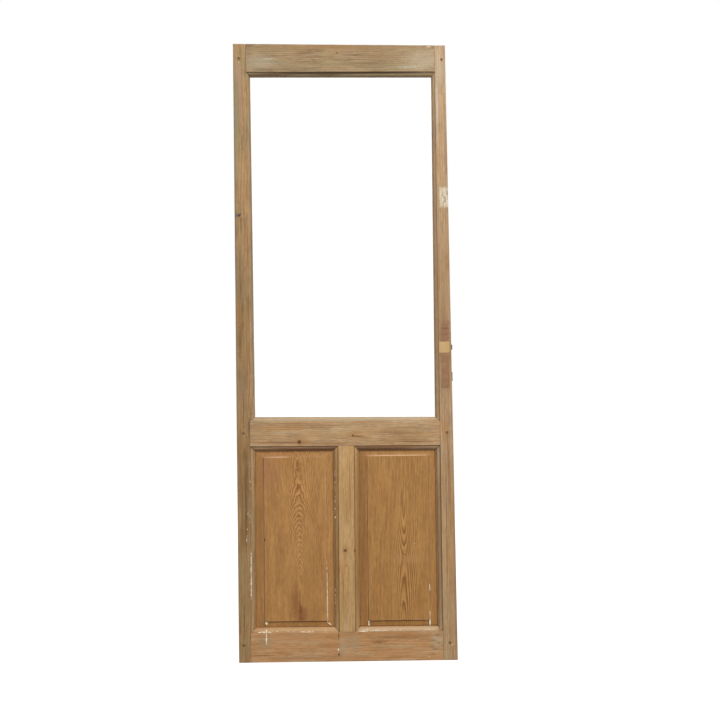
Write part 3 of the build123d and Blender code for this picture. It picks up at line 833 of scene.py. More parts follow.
@dataclass
class Member:
    """A stile, a rail or the muntin: a bar with mouldings stuck on its sides.

    Its surface is a closed section carried along the run. The section runs over the front face,
    down the far side, over the back and up the near side. Where a side carries a moulding, its
    corners stand out from the joint line; elsewhere they lie on it. A moulding's run is squeezed
    at both ends by each corner's distance from the joint line, which cuts the mitres.
    """

    name: str
    grain: Grain
    near: Side
    far: Side
    run: Span
    seed: int
    finish: Pine
    slot: str
    step: float = 5.0
    face_points: int = 12
    end_worn: float = 0.6
    crown: float = 0.0
    crown_from: float = 0.0
    inset: float = 0.20
    swell: float = 0.14
    support: float = 2.6

    def stations(self) -> tuple[np.ndarray, np.ndarray]:
        """Give the run's stations and how far each end ring is drawn in."""
        start, end = self.run
        worn = self.end_worn
        fixed = [start, start + 0.3 * worn, start + worn, end - worn, end - 0.3 * worn, end]
        for zone in (*self.near.zones, *self.far.zones):
            for place in (zone.start, zone.start + JOINT_GAP, zone.end - JOINT_GAP, zone.end):
                if start + worn < place < end - worn:
                    fixed.append(place)
        special = np.unique(np.round(fixed, 3))
        plain = np.arange(start + self.step, end, self.step)
        clear = np.abs(plain[:, None] - special[None, :]).min(1) > self.step * 0.3
        run = np.sort(np.concatenate((special, plain[clear])))
        edge = np.minimum(run - start, end - run)
        drawn_in = np.interp(edge, (0.0, 0.3 * worn, worn), (worn, 0.3 * worn, 0.0))
        return run, drawn_in

    @staticmethod
    def _arris(
        columns: Columns, run: np.ndarray, share: float, radius: np.ndarray, steps: Sequence[tuple]
    ) -> None:
        """Add the corners of a rounded arris.

        A corner lies in from the side by the radius times (1 - sine) and in from its face by the
        radius times (1 - cosine).

        Args:
            columns: where the corners go.
            run: the stations along the member.
            share: which side of the member the arris is on.
            radius: the rounding at each station.
            steps: for each corner its face, -1 at the front and 1 at the back, its turn, how dirty
                and how darkened by painted shade it is, and its wear.
        """
        for face, turn, soil_and_shade, rubbed in steps:
            out = -radius * (1 - math.sin(turn))
            deep = face * (HALF_THICK - radius * (1 - math.cos(turn)))
            columns.add(out, deep, run, share, soil_and_shade, rubbed)

    def _edge_stack(self, columns: Columns, side: Side, run: np.ndarray, share: float, seed: int) -> None:
        """Add the corners of a planed outer edge, from the front face to the back."""
        steps = [(-1, turn, 0, math.sin(2 * turn)) for turn in np.linspace(0, math.pi / 2, 5)]
        self._arris(columns, run, share, side.arris_radius(run, seed), steps)
        for deep in np.linspace(-15.0, 15.0, 9):
            columns.add(0, deep, run, share)
        steps = [(1, *step[1:]) for step in steps[::-1]]
        self._arris(columns, run, share, side.arris_radius(run, seed + 7), steps)

    def _moulded_stack(self, columns: Columns, side: Side, run: np.ndarray, share: float, seed: int) -> None:
        """Add the corners of a side that meets other members, from the front face to the back."""
        front = -HALF_THICK
        radius = side.arris_radius(run, seed)
        shapes = {kind: moulding.section() for kind, moulding in MOULDINGS.items()}
        count = len(shapes[Stuck.GLAZED])
        flat_deep = np.linspace(1.3, -front - GROOVE_HALF - 0.05, count)
        joint = np.ones(run.shape)
        out = np.zeros((len(run), count))
        deep = np.tile(flat_deep, (len(run), 1))
        place = np.tile(run[:, None], (1, count))
        dirt_and_shade = np.full((len(run), count), 1.0)
        worn = np.zeros((len(run), count))
        back_out, back_deep, back_place = out.copy(), deep.copy(), place.copy()
        groove = np.tile(np.linspace(-GROOVE_HALF, GROOVE_HALF, 4), (len(run), 1))
        for zone in side.zones:
            low, high = zone.start + JOINT_GAP, zone.end - JOINT_GAP
            inside = (run > low - 0.01) & (run < high + 0.01)
            part = ((run[inside] - low) / (high - low))[:, None]
            section = shapes[zone.kind]
            squeezed = low + section[:, 0] * zone.mitre[0]
            squeezed = squeezed + part * (high - low - section[:, 0] * sum(zone.mitre))
            spread = zone.spread[0] + (zone.spread[1] - zone.spread[0]) * part
            out[inside], deep[inside], place[inside] = section[:, 0] * spread, section[:, 1], squeezed
            dirt_and_shade[inside], worn[inside] = section[:, 2] * zone.soil_and_shade, section[:, 3]
            joint[inside] = zone.soil_and_shade * 0.6
            if zone.kind is Stuck.PANEL:
                back_out[inside], back_deep[inside], back_place[inside] = out[inside], deep[inside], squeezed
            else:
                lip = front + section[-1, 1]
                groove[inside] = np.linspace(lip + 0.1, GROOVE_HALF, 4)
        turns = ((0.0, 0.0), (0.25 * math.pi, 0.5), (0.5 * math.pi, 1.0))
        steps = [(-1, turn, soil_and_shade * joint, 0.4 * math.sin(2 * turn)) for turn, soil_and_shade in turns]
        self._arris(columns, run, share, radius, steps)
        for k in range(count):
            columns.add(out[:, k], front + deep[:, k], place[:, k], share, dirt_and_shade[:, k], worn[:, k])
        for k in range(groove.shape[1]):
            columns.add(0, groove[:, k], run, share, 1.0)
        for k in range(count - 1, -1, -1):
            back = -front - back_deep[:, k]
            columns.add(back_out[:, k], back, back_place[:, k], share, dirt_and_shade[:, k], worn[:, k])
        self._arris(columns, run, share, radius, [(1, *step[1:]) for step in steps[::-1]])

    def build(self) -> Thing:
        """Make the member's surface."""
        run, drawn_in = self.stations()
        columns = Columns()
        wide = abs(on_line(self.far.line, run.mean()) - on_line(self.near.line, run.mean()))
        support = self.support / wide
        inner = np.linspace(0, 1, self.face_points + 2)[1:-1]
        shares = np.concatenate(([support], inner, [1 - support]))
        for share in shares:
            columns.add(0, -HALF_THICK, run, share)
        self._stack(columns, self.far, run, 1.0, self.seed + 100)
        for share in shares[::-1]:
            columns.add(0, HALF_THICK, run, share)
        near_side = len(columns.rows)
        self._stack(columns, self.near, run, 0.0, self.seed + 200)
        columns.turn_round(near_side)
        out, deep, place, share, dirt_and_shade, worn = columns.stacked()
        near = on_line(self.near.line, place) - np.where(share < 0.5, out, 0)
        far = on_line(self.far.line, place) + np.where(share >= 0.5, out, 0)
        across = near * (1 - share) + far * share
        middle = (on_line(self.near.line, place) + on_line(self.far.line, place)) / 2
        reach = np.abs(across - middle).max()
        across = middle + (across - middle) * (1 - drawn_in[:, None] / reach)
        deep = deep * (1 - drawn_in[:, None] / HALF_THICK)
        across, deep = self._weathered(across, deep, place)
        if self.crown:
            lift = np.clip((place - self.run[1] + 80.0) / 80.0, 0, 1)
            place = place + lift * self.crown * (across - self.crown_from)
        upright = self.grain is Grain.UPRIGHT
        grid = np.stack((across, deep, place) if upright else (place, deep, across), -1)
        layers = {"dirt_and_shade": dirt_and_shade.ravel(), "worn": worn.ravel()}
        rings, corners = grid.shape[:2]
        return made_object(f"worn_{self.name}", grid.reshape(-1, 3), tube_faces(rings, corners), layers)

    def _stack(self, columns: Columns, side: Side, run: np.ndarray, share: float, seed: int) -> None:
        """Add the corners of one side."""
        if side.zones:
            self._moulded_stack(columns, side, run, share, seed)
        else:
            self._edge_stack(columns, side, run, share, seed)

    def _weathered(
        self, across: np.ndarray, deep: np.ndarray, place: np.ndarray
    ) -> tuple[np.ndarray, np.ndarray]:
        """Move the surface in along its own normal.

        The normal of each corner is a quarter turn from the line between its two neighbours. The
        move is a small inset plus slow unevenness.
        """
        side = np.roll(across, -1, 1) - np.roll(across, 1, 1)
        down = np.roll(deep, -1, 1) - np.roll(deep, 1, 1)
        length = np.maximum(np.hypot(side, down), 1e-6)
        points = np.stack((across, deep, place), -1)
        slow = ripple(points, (46.0, 60.0, 230.0), self.seed)
        quick = ripple(points, (17.0, 25.0, 60.0), self.seed + 1)
        move = self.inset + self.swell * (0.65 * slow + 0.35 * quick)
        move = np.maximum(move, 0.03)
        return across - down / length * move, deep + side / length * move


# Raised panels


@dataclass
class RaisedPanel:
    """A raised and fielded panel: a grid for each flat, joined by rings round them."""

    name: str
    seat: tuple[float, float, float, float]
    margins: tuple[float, float, float, float]
    seed: int
    finish: Pine
    tongue: float = 12.0
    tongue_half: float = 5.0
    field_front: float = -FIELD_DEPTH
    field_foot: float = -9.5
    front_from: float = -5.5
    raised_from: float = -11.0
    arris: float = 0.9
    cell: float = 5.0
    slot: str = "panel_wood"
    # How dark the rings are painted on the left, right, top and bottom sides: dirty wood plus painted shade,
    # heaviest under the field and on its left.
    soil_and_shade: tuple[float, float, float, float] = (0.45, 0.3, 0.1, 0.8)

    def build(self) -> Thing:
        """Make the panel's surface.

        Every ring is a rectangle whose points keep their share of its width and height, so the
        mitres of the bevels run true from corner to corner.
        """
        left, right, low, high = self.seat
        wide_left, wide_right, wide_top, wide_bottom = self.margins
        inner = (left + wide_left, right - wide_right, low + wide_bottom, high - wide_top)
        shares_x = np.linspace(0, 1, int((inner[1] - inner[0]) / self.cell) + 1)
        shares_z = np.linspace(0, 1, int((inner[3] - inner[2]) / self.cell) + 1)
        loop = self._loop(shares_x, shares_z)
        side_soil_and_shade = self._side_soil_and_shade(loop)
        rings = self._rings(inner)
        points, faces, dirt_and_shade, worn = [], [], [], []
        for out, deep, soil_and_shade, rubbed, base, blend in rings:
            box = [a * (1 - blend) + b * blend for a, b in zip(base, self.seat)]
            box = (box[0] - out, box[1] + out, box[2] - out, box[3] + out)
            ring_x = box[0] + (box[1] - box[0]) * loop[:, 0]
            ring_z = box[2] + (box[3] - box[2]) * loop[:, 1]
            points.append(np.column_stack((ring_x, np.full(len(loop), deep), ring_z)))
            dirt_and_shade.append(soil_and_shade * side_soil_and_shade)
            worn.append(np.full(len(loop), rubbed))
        faces += tube_faces(len(rings), len(loop), capped=False)
        start = len(rings) * len(loop)
        for ring, first in ((0, 0), (len(rings) - 1, (len(rings) - 1) * len(loop))):
            grid, between = self._flat(points[ring], shares_x, shares_z, start, first)
            points.append(grid)
            faces += between
            dirt_and_shade.append(np.zeros(len(grid)))
            worn.append(np.zeros(len(grid)))
            start += len(grid)
        everything = self._weathered(np.concatenate(points), inner)
        layers = {"dirt_and_shade": np.concatenate(dirt_and_shade), "worn": np.concatenate(worn)}
        return made_object(f"worn_{self.name}", everything, faces, layers)

    @staticmethod
    def _loop(shares_x: np.ndarray, shares_z: np.ndarray) -> np.ndarray:
        """Give the shares of width and height of the points round a rectangle."""
        foot = np.column_stack((shares_x[:-1], np.zeros(len(shares_x) - 1)))
        rise = np.column_stack((np.ones(len(shares_z) - 1), shares_z[:-1]))
        head = np.column_stack((shares_x[:0:-1], np.ones(len(shares_x) - 1)))
        fall = np.column_stack((np.zeros(len(shares_z) - 1), shares_z[:0:-1]))
        return np.concatenate((foot, rise, head, fall))

    def _side_soil_and_shade(self, loop: np.ndarray) -> np.ndarray:
        """Give how dirty and shaded each point of a ring is, by the side of the panel that it is on: the
        shade is painted.
        """
        left, right, top, bottom = self.soil_and_shade
        soil_and_shade = np.where(loop[:, 0] < 0.5, left, right)
        soil_and_shade = np.where(loop[:, 1] > 0.9999, top, soil_and_shade)
        return np.where(loop[:, 1] < 0.0001, bottom, soil_and_shade)

    def _rings(self, inner: tuple[float, float, float, float]) -> list[tuple]:
        """List the rings from the front field to the back.

        Each is how far out it lies from its base rectangle, its depth, how dirty and how darkened
        by painted shade it is, its wear, that rectangle, and how far it has spread towards the seat.
        """
        front, foot, half, arris = self.field_front, self.field_foot, self.tongue_half, self.arris
        rows = [
            (-arris, front, 0.0, 0.3, inner, 0.0),
            (-arris * 0.35, front + arris * 0.12, 0.0, 1.0, inner, 0.0),
            (-arris * 0.05, front + arris * 0.5, 0.0, 1.0, inner, 0.0),
            (0.05, front + arris * 1.1, 0.1, 0.4, inner, 0.0),
            (0.25, foot - 0.5, 0.9, 0.0, inner, 0.0),
            (0.8, foot - 0.05, 1.0, 0.0, inner, 0.0),
            (2.4, foot + 0.1, 0.25, 0.0, inner, 0.0),
        ]
        for part in np.linspace(0.2, 0.9, 6):
            rows.append((0.0, foot + (-half - foot) * part, 0.0, 0.0, inner, float(part)))
        rows += [
            (-1.5, -half - 0.05, 0.5, 0.0, self.seat, 0.0),
            (0.0, -half, 1.0, 0.0, self.seat, 0.0),
            (self.tongue - 1.0, -half, 1.0, 0.0, self.seat, 0.0),
            (self.tongue, -half + 1.0, 0.5, 0.0, self.seat, 0.0),
            (self.tongue, half - 1.0, 0.5, 0.0, self.seat, 0.0),
            (self.tongue - 1.0, half, 1.0, 0.0, self.seat, 0.0),
            (0.0, half, 1.0, 0.0, self.seat, 0.0),
            (-2.0, half, 0.25, 0.0, self.seat, 0.0),
            (0.0, half, 0.0, 0.0, inner, 0.0),
        ]
        return rows

    @staticmethod
    def _flat(
        ring: np.ndarray, shares_x: np.ndarray, shares_z: np.ndarray, start: int, first: int
    ) -> tuple[np.ndarray, list]:
        """Fill a ring with a grid that shares its points.

        Args:
            ring: the ring's points.
            shares_x: shares of the width where the grid's upright lines lie.
            shares_z: shares of the height where its level lines lie.
            start: the number that the first new point gets.
            first: the number of the ring's first point.

        Returns:
            The new points inside the ring, and the grid's faces.
        """
        count_x, count_z = len(shares_x), len(shares_z)
        low, high = ring.min(0), ring.max(0)
        mesh_x, mesh_z = np.meshgrid(shares_x[1:-1], shares_z[1:-1], indexing="ij")
        inside = np.column_stack(
            (
                low[0] + (high[0] - low[0]) * mesh_x.ravel(),
                np.full(mesh_x.size, ring[0, 1]),
                low[2] + (high[2] - low[2]) * mesh_z.ravel(),
            )
        )
        number = np.zeros((count_x, count_z), dtype=int)
        number[1:-1, 1:-1] = start + np.arange(mesh_x.size).reshape(count_x - 2, count_z - 2)
        last_x, last_z = count_x - 1, count_z - 1
        number[:last_x, 0] = first + np.arange(last_x)
        number[last_x, :last_z] = first + last_x + np.arange(last_z)
        number[:0:-1, last_z] = first + last_x + last_z + np.arange(last_x)
        number[0, :0:-1] = first + 2 * last_x + last_z + np.arange(last_z)
        return inside, grid_faces(number).tolist()

    def _weathered(self, points: np.ndarray, inner: tuple[float, float, float, float]) -> np.ndarray:
        """Cup the board slightly and make its flats uneven, more at the front."""
        slow = ripple(points, (60.0, 40.0, 240.0), self.seed)
        quick = ripple(points, (18.0, 20.0, 55.0), self.seed + 1)
        middle = (inner[0] + inner[1]) / 2
        cup = 0.5 * ((points[:, 0] - middle) / (inner[1] - middle)) ** 2
        front, raised = points[:, 1] < self.front_from, points[:, 1] < self.raised_from
        move = np.where(front, 0.12 + 0.11 * slow + 0.06 * quick + 0.25 * np.minimum(cup, 1.0), 0.0)
        edge = raised * np.abs(ripple(points, (9.0, 9.0, 14.0), self.seed + 2)) * 0.12
        points[:, 1] += move + edge
        return points


# Solids to cut with, and small turned or drawn pieces


@dataclass
class Shell:
    """Points and faces gathered for one mesh."""

    points: list[np.ndarray] = field(default_factory=list)
    faces: list = field(default_factory=list)
    count: int = 0

    def add_tube(self, rings: np.ndarray) -> None:
        """Add a closed tube from an array of rings, corners and places."""
        self.faces += tube_faces(rings.shape[0], rings.shape[1], start=self.count)
        self.points.append(rings.reshape(-1, 3))
        self.count += rings.shape[0] * rings.shape[1]

    def build(self, name: str) -> Thing:
        """Make one object of everything that was added."""
        return made_object(name, np.concatenate(self.points), self.faces)


def rod_rings(
    start: Sequence[float], end: Sequence[float], profile: Sequence[Span], corners: int = 24
) -> np.ndarray:
    """Turn a profile about the line between two points.

    Ring k is at start + (end - start) times its share, with its own radius.

    Args:
        start: the axis's first point.
        end: the axis's last point.
        profile: a share of the axis and a radius for each ring.
        corners: how many corners each ring has.

    Returns:
        The rings' corners.
    """
    first, last = np.array(start, dtype=float), np.array(end, dtype=float)
    axis = (last - first) / np.linalg.norm(last - first)
    helper = np.array((0.0, 0.0, 1.0)) if abs(axis[2]) < 0.9 else np.array((1.0, 0.0, 0.0))
    side = np.cross(axis, helper)
    side /= np.linalg.norm(side)
    other = np.cross(axis, side)
    turns = np.linspace(0, 2 * math.pi, corners, endpoint=False)
    circle = np.cos(turns)[:, None] * side + np.sin(turns)[:, None] * other
    shares, radii = np.array(profile).T
    middles = first + shares[:, None] * (last - first)
    return middles[:, None, :] + radii[:, None, None] * circle[None, :, :]


def rod(name: str, start: Sequence[float], end: Sequence[float], radius: float) -> Thing:
    """Make a plain round rod to cut with."""
    shell = Shell()
    shell.add_tube(rod_rings(start, end, ((0.0, radius), (1.0, radius))))
    return shell.build(name)


# Joints of the frame


@dataclass(frozen=True)
class Tenon:
    """A rail's through tenon and its haunch, by their lows and highs."""

    low: float
    high: float
    haunch_low: float
    haunch_high: float


@dataclass(frozen=True)
class Joinery:
    """The mortise and tenon joints between the rails and the stiles, and their pegs."""

    lines: LeafLines
    half: float = 6.5
    play: float = 0.1
    haunch: float = 12.0
    wedge_thick: float = 5.1
    wedge_reach: float = 36.0
    oversize: float = 6.0
    peg_radius: float = 4.5
    peg_half: float = 19.25
    peg_corners: int = 40
    tenon_root: float = 25.0
    mortise_reach: float = 75.0
    end_play: float = 0.3
    tenons: tuple[Tenon, ...] = (
        Tenon(1890.0, 1948.0, 1890.0, 1982.0),
        Tenon(691.5, 749.5, 681.9, 759.2),
        Tenon(26.0, 84.0, -6.0, 84.0),
    )
    left_pegs: tuple[Span, ...] = ((-330.7, 1927.7), (-324.5, 724.9), (-328.0, 55.0))
    right_pegs: tuple[Span, ...] = ((321.6, 1919.2), (324.1, 720.3), (324.5, 55.0))

    def _joint(self, side: int, height: float) -> float:
        """Give where a rail meets the left stile, side -1, or the right one, side 1."""
        return float(on_line(self.lines.right_joint if side > 0 else self.lines.left_joint, height))

    def _edge_end(self, side: int, low: float, high: float, inner: float) -> list[Span]:
        """Outline a bar that ends on the leaf's planed edge."""
        edge = self.lines.right_edge if side > 0 else self.lines.left_edge
        ends = [float(on_line(edge, z)) - side * END_GAP for z in (low, high)]
        return [(inner, low), (ends[0], low), (ends[1], high), (inner, high)]

    def rail_tools(self, index: int) -> Tools:
        """Make the tenons and haunches to join to a rail."""
        tenon = self.tenons[index]
        thick = (-self.half, self.half)
        tools = []
        for side in (-1, 1):
            joint = self._joint(side, tenon.low)
            inner, tip = joint - side * self.tenon_root, joint + side * self.haunch
            outline = self._edge_end(side, tenon.low, tenon.high, inner)
            tools.append(("UNION", prism(f"tenon_{side}", outline, *thick)))
            low = max(tenon.haunch_low, self.end_play)
            high = min(tenon.haunch_high, float(on_line(self.lines.top_edge, tip)) - self.end_play)
            tools.append(("UNION", block(f"haunch_{side}", sorted((inner, tip)), thick, (low, high))))
        return tools

    def stile_tools(self, side: int) -> Tools:
        """Make the solids that cut a stile's mortises, wedge rooms and peg holes."""
        tools = []
        grown = self.half + self.play
        outer = side * (self.lines.half + self.oversize)
        point = side * (self.lines.half - self.wedge_reach)
        inner = side * (self.lines.half - self.mortise_reach)
        for number, tenon in enumerate(self.tenons):
            low, high = tenon.low - self.play, tenon.high + self.play
            outline = [
                (inner, low),
                (point, low),
                (outer, tenon.low - self.wedge_thick),
                (outer, tenon.high + self.wedge_thick),
                (point, high),
                (inner, high),
            ]
            tools.append(("DIFFERENCE", prism(f"mortise_{number}", outline, -grown, grown)))
            tip = self._joint(side, tenon.low) + side * (self.haunch + self.play)
            room = (tenon.haunch_low - self.play, tenon.haunch_high + self.play)
            span = sorted((inner, tip))
            tools.append(("DIFFERENCE", block(f"haunch_room_{number}", span, (-grown, grown), room)))
        for number, (x, z) in enumerate(self.right_pegs if side > 0 else self.left_pegs):
            ends = (x, -PAST_FACE, z), (x, PAST_FACE, z)
            tools.append(("DIFFERENCE", rod(f"peg_bore_{number}", *ends, self.peg_radius + 0.08)))
        return tools

    def pegs(self) -> Thing:
        """Make the whittled pegs: rods of eight uneven facets with a dished end.

        Each ring's corners swing between two radii, eight times round, by a cosine.
        """
        shell = Shell()
        draw = np.random.default_rng(41)
        dished_end = ((0.0, 0.9), (0.0, 2.6), (0.008, 3.7), (0.022, 4.35), (0.06, self.peg_radius))
        profile = (*dished_end, (0.94, self.peg_radius), (0.98, 4.3), (1.0, 3.6))
        for x, z in (*self.left_pegs, *self.right_pegs):
            rings = rod_rings((x, -self.peg_half, z), (x, self.peg_half, z), profile, self.peg_corners)
            middle = np.array((x, 0.0, z))
            turn = np.linspace(0, 2 * math.pi, self.peg_corners, endpoint=False) + draw.uniform(0, 1)
            facet = 1 - 0.035 * (1 - np.cos(8 * turn)) - 0.03 * np.cos(turn + draw.uniform(0, 6))
            flat = (rings - middle) * np.array((1.0, 0.0, 1.0))
            rings = rings - flat * (1 - facet)[None, :, None]
            rings[:1, :, 1] += 0.25
            tilt = draw.uniform(-0.06, 0.06, 2)
            rings[:4, :, 1] += np.abs(flat[:4] @ np.array((tilt[0], 0.0, tilt[1])))
            shell.add_tube(rings)
        return shell.build("old_pegs")


# The old lock's room in the right stile


@dataclass(frozen=True)
class LockRoom:
    """The places cut for the lock, square to the planed right edge and measured from its latch."""

    lines: LeafLines
    height: float = 993.0
    case_span: Span = (-122.5, 22.0)
    case_depth: float = 35.0
    case_half: float = 7.0
    forend_span: Span = (-142.5, 42.0)
    forend_depth: float = 3.0
    forend_half: float = 10.0
    play: float = 0.3
    overshoot: float = 6.0
    screw_inset: float = 9.0
    screw_bore: float = 2.1
    screw_reach: Span = (4.0, -22.5)
    patch: Span = (302.0, 335.0)
    patch_half: float = 17.5
    patch_bed: float = -14.0
    patch_play: float = 0.1

    def _spot(self, along: float, outwards: float) -> Span:
        """Give a place across and up the leaf from one along the edge and out of it."""
        foot = np.array((float(on_line(self.lines.right_edge, 0.0)), 0.0))
        top_z = self.lines.right_edge[0][1]
        rise = np.array((float(on_line(self.lines.right_edge, top_z)), top_z)) - foot
        rise /= np.linalg.norm(rise)
        out = np.array((rise[1], -rise[0]))
        spot = foot + rise * (self.height / rise[1] + along) + out * outwards
        return float(spot[0]), float(spot[1])

    def _edge_block(self, name: str, span: Span, half: float, inner: float) -> Thing:
        """Make a block square to the edge."""
        low, high = span
        corners = ((low, inner), (low, self.overshoot), (high, self.overshoot), (high, inner))
        return prism(name, [self._spot(*corner) for corner in corners], -half, half)

    def tools(self) -> Tools:
        """Make the solids that cut the room for the case, the forend, the screws and the patch."""
        play = self.play
        case = (self.case_span[0] - play, self.case_span[1] + play)
        forend = (self.forend_span[0] - play, self.forend_span[1] + play)
        cutters = [
            self._edge_block("case_room", case, self.case_half + play, -self.case_depth - play),
            self._edge_block("forend_room", forend, self.forend_half + play, -self.forend_depth),
        ]
        for end, inwards in ((0, 1), (1, -1)):
            along = self.forend_span[end] + inwards * self.screw_inset
            (x, z), (deep_x, deep_z) = (self._spot(along, reach) for reach in self.screw_reach)
            cutters.append(rod(f"forend_bore_{end}", (x, 0.0, z), (deep_x, 0.0, deep_z), self.screw_bore))
        across = (self.patch[0] - self.patch_play, self.patch[1] + self.patch_play)
        up_half = self.patch_half + self.patch_play
        up = (self.height - up_half, self.height + up_half)
        cutters.append(block("patch_bed", across, (-PAST_FACE, self.patch_bed), up))
        return [("DIFFERENCE", cutter) for cutter in cutters]


@dataclass(frozen=True)
class LeftEdge:
    """The hinge gains in the left edge, and the hole of the old nail."""

    lines: LeafLines
    gains: Span = (230.0, 1776.0)
    length: float = 90.0
    width: float = 28.0
    depth: float = 2.5
    outside: float = -362.0
    spacing: Span = (14.0, 64.0)
    screw_bore: float = 1.6
    screw_reach: Span = (-4.0, 24.0)
    nail_height: float = 1424.0
    nail_inset: float = 18.0
    nail_head: Span = (2.6, 2.1)
    nail_head_deep: float = -17.5
    nail_half: float = 1.3
    nail_deep: float = 12.6

    def tools(self) -> Tools:
        """Make the solids that cut the gains, their screw holes and the nail's hole."""
        cutters = []
        for height in self.gains:
            floor = float(on_line(self.lines.left_edge, height)) + self.depth
            up = (height - self.length / 2, height + self.length / 2)
            deep = (HALF_THICK - self.width, PAST_FACE)
            cutters.append(block(f"gain_{height:.0f}", (self.outside, floor), deep, up))
            middle_y = HALF_THICK - self.width / 2
            for side_y in (-0.5, 0.5):
                for side_z in (-0.5, 0.5):
                    y, z = middle_y + side_y * self.spacing[0], height + side_z * self.spacing[1]
                    start, end = ((floor + reach, y, z) for reach in self.screw_reach)
                    cutters.append(rod(f"screw_bore_{len(cutters)}", start, end, self.screw_bore))
        x, z = float(on_line(self.lines.left_edge, self.nail_height)) + self.nail_inset, self.nail_height
        for name, (half_x, half_z), deep in (
            ("nail_head_room", self.nail_head, self.nail_head_deep),
            ("nail_bore", (self.nail_half, self.nail_half), self.nail_deep),
        ):
            across, up = (x - half_x, x + half_x), (z - half_z, z + half_z)
            cutters.append(block(name, across, (-PAST_FACE, deep), up))
        return [("DIFFERENCE", cutter) for cutter in cutters]


# Glazing


@dataclass(frozen=True)
class Glazing:
    """The bedding, the sheet of glass and the beads, fitted to the glazed opening's own lines."""

    lines: LeafLines
    bedding: Span = (-2.9, -1.5)
    glass: Span = (-1.5, 2.5)
    glass_grid: tuple[int, int] = (41, 73)
    glass_play: float = 1.5
    bead_front: float = 2.5
    bead_width: float = 10.6
    bead_depth: float = 12.0
    bead_nose: float = 3.0

    def corners(self, inset: float) -> np.ndarray:
        """Give the corners of the opening's rebate drawn in, from the low left one anticlockwise."""
        lines = self.lines
        found = []
        for upright, level, in_x, in_z in (
            (lines.left_joint, lines.middle_high, 1, 1),
            (lines.right_joint, lines.middle_high, -1, 1),
            (lines.right_joint, lines.top_joint, -1, -1),
            (lines.left_joint, lines.top_joint, 1, -1),
        ):
            x, z = 0.0, float(level[1][0])
            for _ in range(4):
                x = float(on_line(upright, z)) + in_x * inset
                z = float(on_line(level, x)) + in_z * inset
            found.append((x, z))
        return np.array(found)

    def _ring(self, name: str, section: Sequence[Span]) -> Thing:
        """Carry a section round the whole opening. Each point is an inset and a depth."""
        loops = [self.corners(inset) for inset, _ in section]
        rings = np.stack([np.insert(loop, 1, depth, axis=1) for loop, (_, depth) in zip(loops, section)], 1)
        steps = np.linspace(0, 1, 25, endpoint=False)[:, None, None, None]
        between = rings[None] * (1 - steps) + np.roll(rings, -1, 0)[None] * steps
        path = between.transpose(1, 0, 2, 3).reshape(-1, len(section), 3)
        path[..., 1] += 0.12 * ripple(path, (40.0, 10.0, 40.0), 77) * (path[..., 1] < -2)
        path = np.concatenate((path, path[:1]))
        faces = tube_faces(len(path), len(section), capped=False)
        last = (len(path) - 1) * len(section)
        faces = [[corner - last if corner >= last else corner for corner in face] for face in faces]
        return made_object(name, path[:-1].reshape(-1, 3), faces)

    def build_bedding(self) -> Thing:
        """Make the ring of putty between the lip and the glass."""
        front, back = self.bedding
        nose = ((8.2, front), (9.1, front + 0.4), (9.2, back - 0.2), (9.0, back))
        return self._ring("old_bedding", ((1.5, front), *nose, (1.5, back)))

    def build_glass(self) -> Thing:
        """Make the sheet of drawn glass: both faces swell and sink by a few hundredths."""
        u, v = np.meshgrid(*(np.linspace(0, 1, count) for count in self.glass_grid), indexing="ij")
        weights = np.stack(((1 - u) * (1 - v), u * (1 - v), u * v, (1 - u) * v), -1)
        flat = weights @ self.corners(self.glass_play)
        faces_y = []
        for face, (depth, inwards) in enumerate(zip(self.glass, (1, -1))):
            places = np.stack((flat[..., 0], flat[..., 1] * 0 + face * 300.0, flat[..., 1]), -1)
            faces_y.append(depth + inwards * (0.05 + 0.045 * ripple(places, (150.0, 90.0, 420.0), 5)))
        sheets = [np.stack((flat[..., 0], depth, flat[..., 1]), -1).reshape(-1, 3) for depth in faces_y]
        number = np.arange(u.size).reshape(u.shape)
        quads = grid_faces(number)
        rim = np.concatenate((number[:, 0], number[-1, 1:], number[-2::-1, -1], number[0, -2:0:-1]))
        after = np.roll(rim, -1)
        far = u.size
        border = np.stack((rim, after, after + far, rim + far), -1)
        faces = np.concatenate((quads, quads[:, ::-1] + far, border)).tolist()
        return made_object("old_glass", np.concatenate(sheets), faces)

    def build_beads(self) -> dict[str, Thing]:
        """Make the four beads, mitred at their ends and a little uneven.

        A bead's section runs straight from one mitre to the next, along the opening's lines.
        """
        turn = np.linspace(0, math.pi / 2, 9)
        nose_in = self.bead_nose + (self.bead_width - self.bead_nose) * np.cos(turn)
        nose_up = self.bead_nose + (self.bead_depth - self.bead_nose) * np.sin(turn)
        section = [(0.35, 0.05), (self.bead_width - 0.3, 0.05), (self.bead_width, 0.35)]
        section += list(zip(nose_in, nose_up))
        section += [(0.6, self.bead_depth - 0.02), (0.35, self.bead_depth - 0.3)]
        loops = np.stack([self.corners(float(inset)) for inset, _ in section])
        made = {}
        for index, side in enumerate(("bottom", "right", "top", "left")):
            start, end = loops[:, index], loops[:, (index + 1) % 4]
            length = float(np.linalg.norm(end[0] - start[0]))
            edge = 0.15 / length
            shares = np.concatenate(([edge], np.arange(8.0, length - 4.0, 8.0) / length, [1 - edge]))
            flat = start[None] + shares[:, None, None] * (end - start)[None]
            deep = np.broadcast_to(np.array([depth for _, depth in section]), flat.shape[:2])
            rings = np.stack((flat[..., 0], self.bead_front + deep, flat[..., 1]), -1)
            uneven = ripple(rings, (70.0, 20.0, 70.0), 300 + index) * 0.15 - 0.2
            rings[..., 1] += uneven * (deep > 3.0)
            shell = Shell()
            shell.add_tube(rings)
            made[side] = shell.build(f"old_bead_{side}")
        return made


# What is left of old paint


